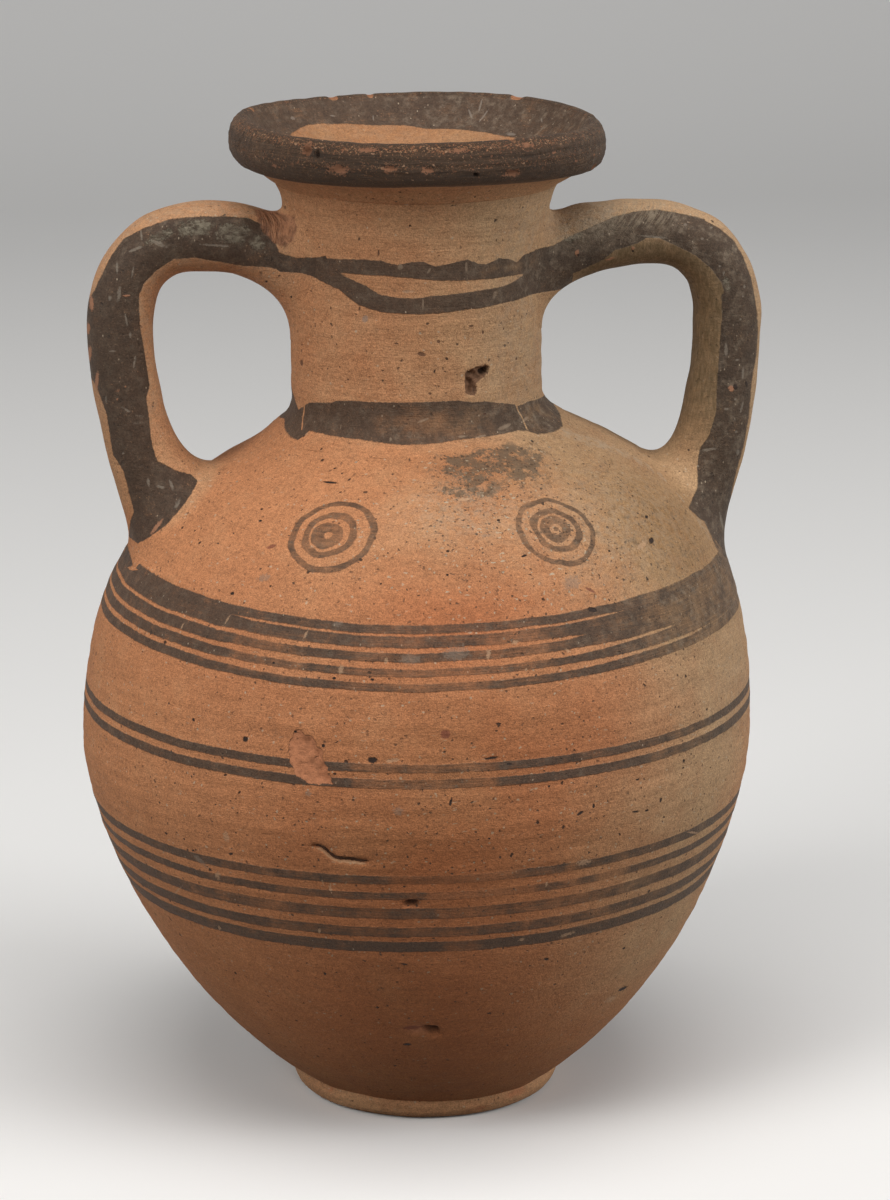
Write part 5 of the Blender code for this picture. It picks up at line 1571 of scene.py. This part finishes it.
def body_paint(w, place):
    """Edge distance of all the body's paint: three groups of stripes, the shoulder's rings, and the
    areas round the handles' roots."""

    def stripe(height, middle, half_width):
        return w.use(STRIPE, {"Height": height, "Middle": middle, "Half width": half_width})["Edge"]

    split = w.parts(place)
    shaky = w.vary(w.noise(w.stretched(place, 1.0, 1.0, 0.3), 0.12, 2.0), 0.5, split[2])
    top = w.less(shaky, w.field("drift"))
    edge = stripe(top, *TOP_GROUP)
    for middle, gap in TOP_GAPS:
        edge = w.least(edge, w.times(stripe(top, middle, w.field(gap)), -1.0))
    low = w.less(shaky, w.field("swing"))
    for height, listed in ((shaky, MIDDLE_STRIPES), (low, LOW_STRIPES)):
        for middle, half_width in listed:
            edge = w.most(edge, stripe(height, middle, half_width))
    both = w.calc("ABSOLUTE", split[1])
    front = w.joined(split[0], w.times(both, -1.0), split[2])
    sway = w.vector("SUBTRACT", w.noise(front, 0.3, 1.0, 0.5, "Color"), HALF)
    front = w.vector("MULTIPLY_ADD", sway, RING_SWAY, front)
    for azimuth, height, inner, outer in RINGS:
        centre = wall_place(azimuth, height)
        ring = w.use(RING, {"Place": front, "Centre": centre, "Inner": inner, "Outer": outer})
        edge = w.most(edge, ring["Edge"])
    edge = w.most(edge, w.field("area"))
    return w.times_plus(w.field("inside"), NO_PAINT, edge)


def rim_finish(w, place, colour, height, rough):
    """Worn lip: level rubbed streaks and many fine flecks of orange clay, most on its crest, and painted
    shade on its front towards the camera, darkest in the grooves of the streaks.
    """
    worn = w.field("worn")
    wear = w.field("lip_wear")
    colour = w.lay(colour, LIP_FACE, w.field("facing"), 0.75)
    streak = w.noise(w.stretched(place, 0.13, 0.13, 2.6), 1.0, 4.0, 0.6)
    rubbed = w.times(w.ramp(streak, 0.5, 0.66), w.times_plus(wear, 0.7, w.times(worn, 0.15)))
    colour = w.lay(colour, LIP_RUBBED, rubbed, 0.5)
    groove = w.times(w.ramp(streak, 0.44, 0.36), w.field("facing"))
    colour = w.lay(colour, LIP_GROOVE, groove, 0.65)
    speckle = w.noise(w.stretched(place, 0.8, 0.8, 1.2), 2.8, 6.0, 0.85)
    low = w.times_plus(wear, -0.085, 0.608)
    chipped = w.times(w.ramp(w.less(speckle, low), 0.0, 0.03), worn)
    orange = w.blend(w.ramp(w.noise(place, 3.1, 2.0), 0.45, 0.62), LIP_ORANGE, LIP_PALE)
    colour = w.lay(colour, orange, chipped, 0.85)
    height = w.times_plus(w.vary(speckle, worn), -0.5, height)
    away, odds = w.cells(w.stretched(w.bent(place, 1.8, 2.0, 0.9), 0.8, 0.8, 1.3), 1.9)
    size = w.ramp(odds[1], 0.0, 1.0, 0.14, 0.42)
    fleck = w.ramp(w.less(away, size), -0.06, 0.06, 1.0, 0.0)
    often = w.times_plus(wear, -0.25, 0.97)
    fleck = w.times(w.times(fleck, worn), w.over(odds[0], often))
    colour = w.lay(colour, LIP_FLECK, fleck, w.ramp(odds[2], 0.0, 1.0, 0.35, 0.85))
    colour = w.lay(colour, PALE_FLECK, w.times(fleck, w.over(odds[2], 0.75)), 0.5)
    height = w.times_plus(fleck, -0.1, height)
    height = w.times_plus(w.times(streak, worn), 0.4, height)
    return colour, height, rough


def strap_finish(w, place, colour, height, rough):
    """Strap: a grey crust on top, brush hatching, the torn patch, and a lumpy web at the root."""
    mask = w.use(MARK, {"Place": place, "In mark": w.field("crusts", "Vector"), "Ragged": 2.2})["Mask"]
    grown = w.noise(w.stretched(place, 0.6, 0.9, 1.3), 1.0, 6.0, 0.75)
    crust = w.times(mask, w.ramp(grown, 0.36, 0.58))
    colour = w.lay(colour, GREY_CRUST, crust, 0.85)
    colour = w.lay(colour, CLAY_FILM, w.field("web"), w.ramp(grown, 0.35, 0.65, 0.1, 0.6))
    height = w.times_plus(crust, 0.12, height)
    lines = w.fibres(place, (0.77, 0.0, -0.64), (0.64, 0.0, 0.77), 3.6, 0.35)
    hatch = w.times(w.field("hatch"), w.ramp(w.noise(lines, 1.0, 2.0), 0.42, 0.62))
    colour = w.lay(colour, PALE_STROKES, hatch, 0.6)
    colour, height = torn_look(w, place, colour, height)
    lumps = w.vary(w.noise(place, 0.9, 5.0, 0.7), w.field("web"))
    return colour, w.times_plus(lumps, 0.9, height), rough


def dress():
    """Makes each piece of the jar, and gives it its material and its place in the frame."""
    body = clay_material("body_clay", BODY_MARK_LOOKS, body_finish, body_paint)
    neck = clay_material(
        "neck_clay", NECK_MARK_LOOKS, neck_finish, clay_look={"Pores": 0.8, "Streaks": 1.0},
        slip_look={"Strokes": 0.4}, broken_tones=(GOUGE_CLAY, GOUGE_SHADE),
    )
    rim = clay_material("rim_slip", LIP_MARK_LOOKS, rim_finish, slip_look={"Wear": 0.45})
    pieces = [
        (make_body(), ("body",), "clay", body),
        (make_neck(), ("neck",), "clay", neck),
        (make_rim(), ("rim",), "lip_paint", rim),
        (make_foot(), ("foot_ring",), "clay", clay_material("foot_clay")),
    ]
    for word, side, seed, tone in (("left", -1, 1, 0.65), ("right", 1, 2, 0.77)):
        strap = clay_material(
            "strap_slip_" + word, STRAP_MARK_LOOKS, strap_finish, slip_look={"Strokes": 0.3, "Tone": tone}
        )
        piece = make_strap("handle_" + word + "_clay", side, seed)
        nodes = tuple(part + word for part in ("handle_", "upper_luting_", "lower_luting_"))
        pieces.append((piece, nodes, "strap_paint", strap))
    for piece, nodes, slot, material in pieces:
        piece.data.materials.append(material)
        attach(piece, "root")
        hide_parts(*nodes)


def make_floor():
    """A plain pale sheet that curves up behind the jar."""
    along = np.linspace(-1.6, 1.6, 41)
    flat = np.linspace(-1.5, 0.9, 30)
    bend = np.linspace(0.0, math.pi / 2, 16)[1:]
    depth = np.concatenate([flat, 0.9 + 0.6 * np.sin(bend), np.full(6, 1.5)])
    height = np.concatenate([0 * flat, 0.6 - 0.6 * np.cos(bend), np.linspace(0.7, 1.9, 6)])
    x, y = np.meshgrid(along, depth)
    z = np.repeat(height[:, None], len(along), axis=1)
    mesh = bpy.data.meshes.new("floor")
    index = np.arange(x.size).reshape(x.shape)
    quads = np.stack([index[:-1, :-1], index[:-1, 1:], index[1:, 1:], index[1:, :-1]], -1).reshape(-1, 4)
    mesh.from_pydata(np.stack([x, y, z], -1).reshape(-1, 3).tolist(), [], quads.tolist())
    mesh.shade_smooth()
    floor = bpy.data.objects.new("floor", mesh)
    bpy.context.scene.collection.objects.link(floor)
    material = bpy.data.materials.new("pale_floor")
    material.use_nodes = True
    w = Wiring(material.node_tree)
    shader = material.node_tree.nodes["Principled BSDF"]
    shader.inputs["Roughness"].default_value = 0.9
    shader.inputs["Specular IOR Level"].default_value = 0.1
    path = w.add("ShaderNodeLightPath")
    seen = w.most(path.outputs["Is Camera Ray"], path.outputs["Is Glossy Ray"])
    colour = w.blend(seen, (0.12, 0.12, 0.12, 1.0), (0.86, 0.86, 0.86, 1.0))
    join(material.node_tree, shader.inputs, {"Base Color": colour})
    mesh.materials.append(material)


def make_light(name, place, aim, size, power, colour):
    """A square soft box at a place, in metres, turned to face a point."""
    from mathutils import Vector

    lamp = bpy.data.lights.new(name, "AREA")
    lamp.shape = "RECTANGLE"
    lamp.size, lamp.size_y = size
    lamp.energy = power
    lamp.color = colour
    made = bpy.data.objects.new(name, lamp)
    made.location = place
    made.rotation_euler = (Vector(aim) - Vector(place)).to_track_quat("-Z", "Y").to_euler()
    bpy.context.scene.collection.objects.link(made)


def light_scene():
    """Plain soft studio light: a wide box above and before the jar, a fill at each side, and a
    level surround that shows pale to the camera."""
    scene = bpy.context.scene
    scene.view_settings.view_transform = "Standard"
    make_light("box_above", (0.0, -0.35, 1.15), (0, 0, 0.09), (0.9, 0.8), 8.0, (1.0, 0.98, 0.95))
    make_light("box_left", (-0.95, -0.7, 0.80), (0, 0, 0.08), (0.6, 0.7), 9.5, (1.0, 0.98, 0.95))
    make_light("box_right", (1.05, -0.55, 0.58), (0, 0, 0.09), (0.6, 0.7), 8.0, (1.0, 0.99, 0.97))
    world = bpy.data.worlds.new("surround")
    world.use_nodes = True
    scene.world = world
    w = Wiring(world.node_tree)
    path = w.add("ShaderNodeLightPath")
    seen = w.most(path.outputs["Is Camera Ray"], path.outputs["Is Glossy Ray"])
    background = world.node_tree.nodes["Background"]
    colour = w.blend(seen, (0.16, 0.16, 0.16, 1.0), (0.88, 0.88, 0.88, 1.0))
    join(world.node_tree, background.inputs, {"Color": colour})
    background.inputs["Strength"].default_value = 1.0


def place_camera():
    """The camera stands left of the front, looks down, and swings a little to the right."""
    camera = bpy.data.cameras.new("camera")
    camera.sensor_width = CAMERA_SENSOR
    camera.lens = CAMERA_LENS
    camera.clip_start = 0.05
    camera.clip_end = 20.0
    made = bpy.data.objects.new("camera", camera)
    made.location = tuple(float(v) * MM for v in camera_place())
    heading = -CAMERA_AZIMUTH + CAMERA_SWING
    made.rotation_euler = (math.radians(90.0 - CAMERA_PITCH), 0.0, -math.radians(heading))
    bpy.context.scene.collection.objects.link(made)
    bpy.context.scene.camera = made


dress()
make_floor()
light_scene()
place_camera()
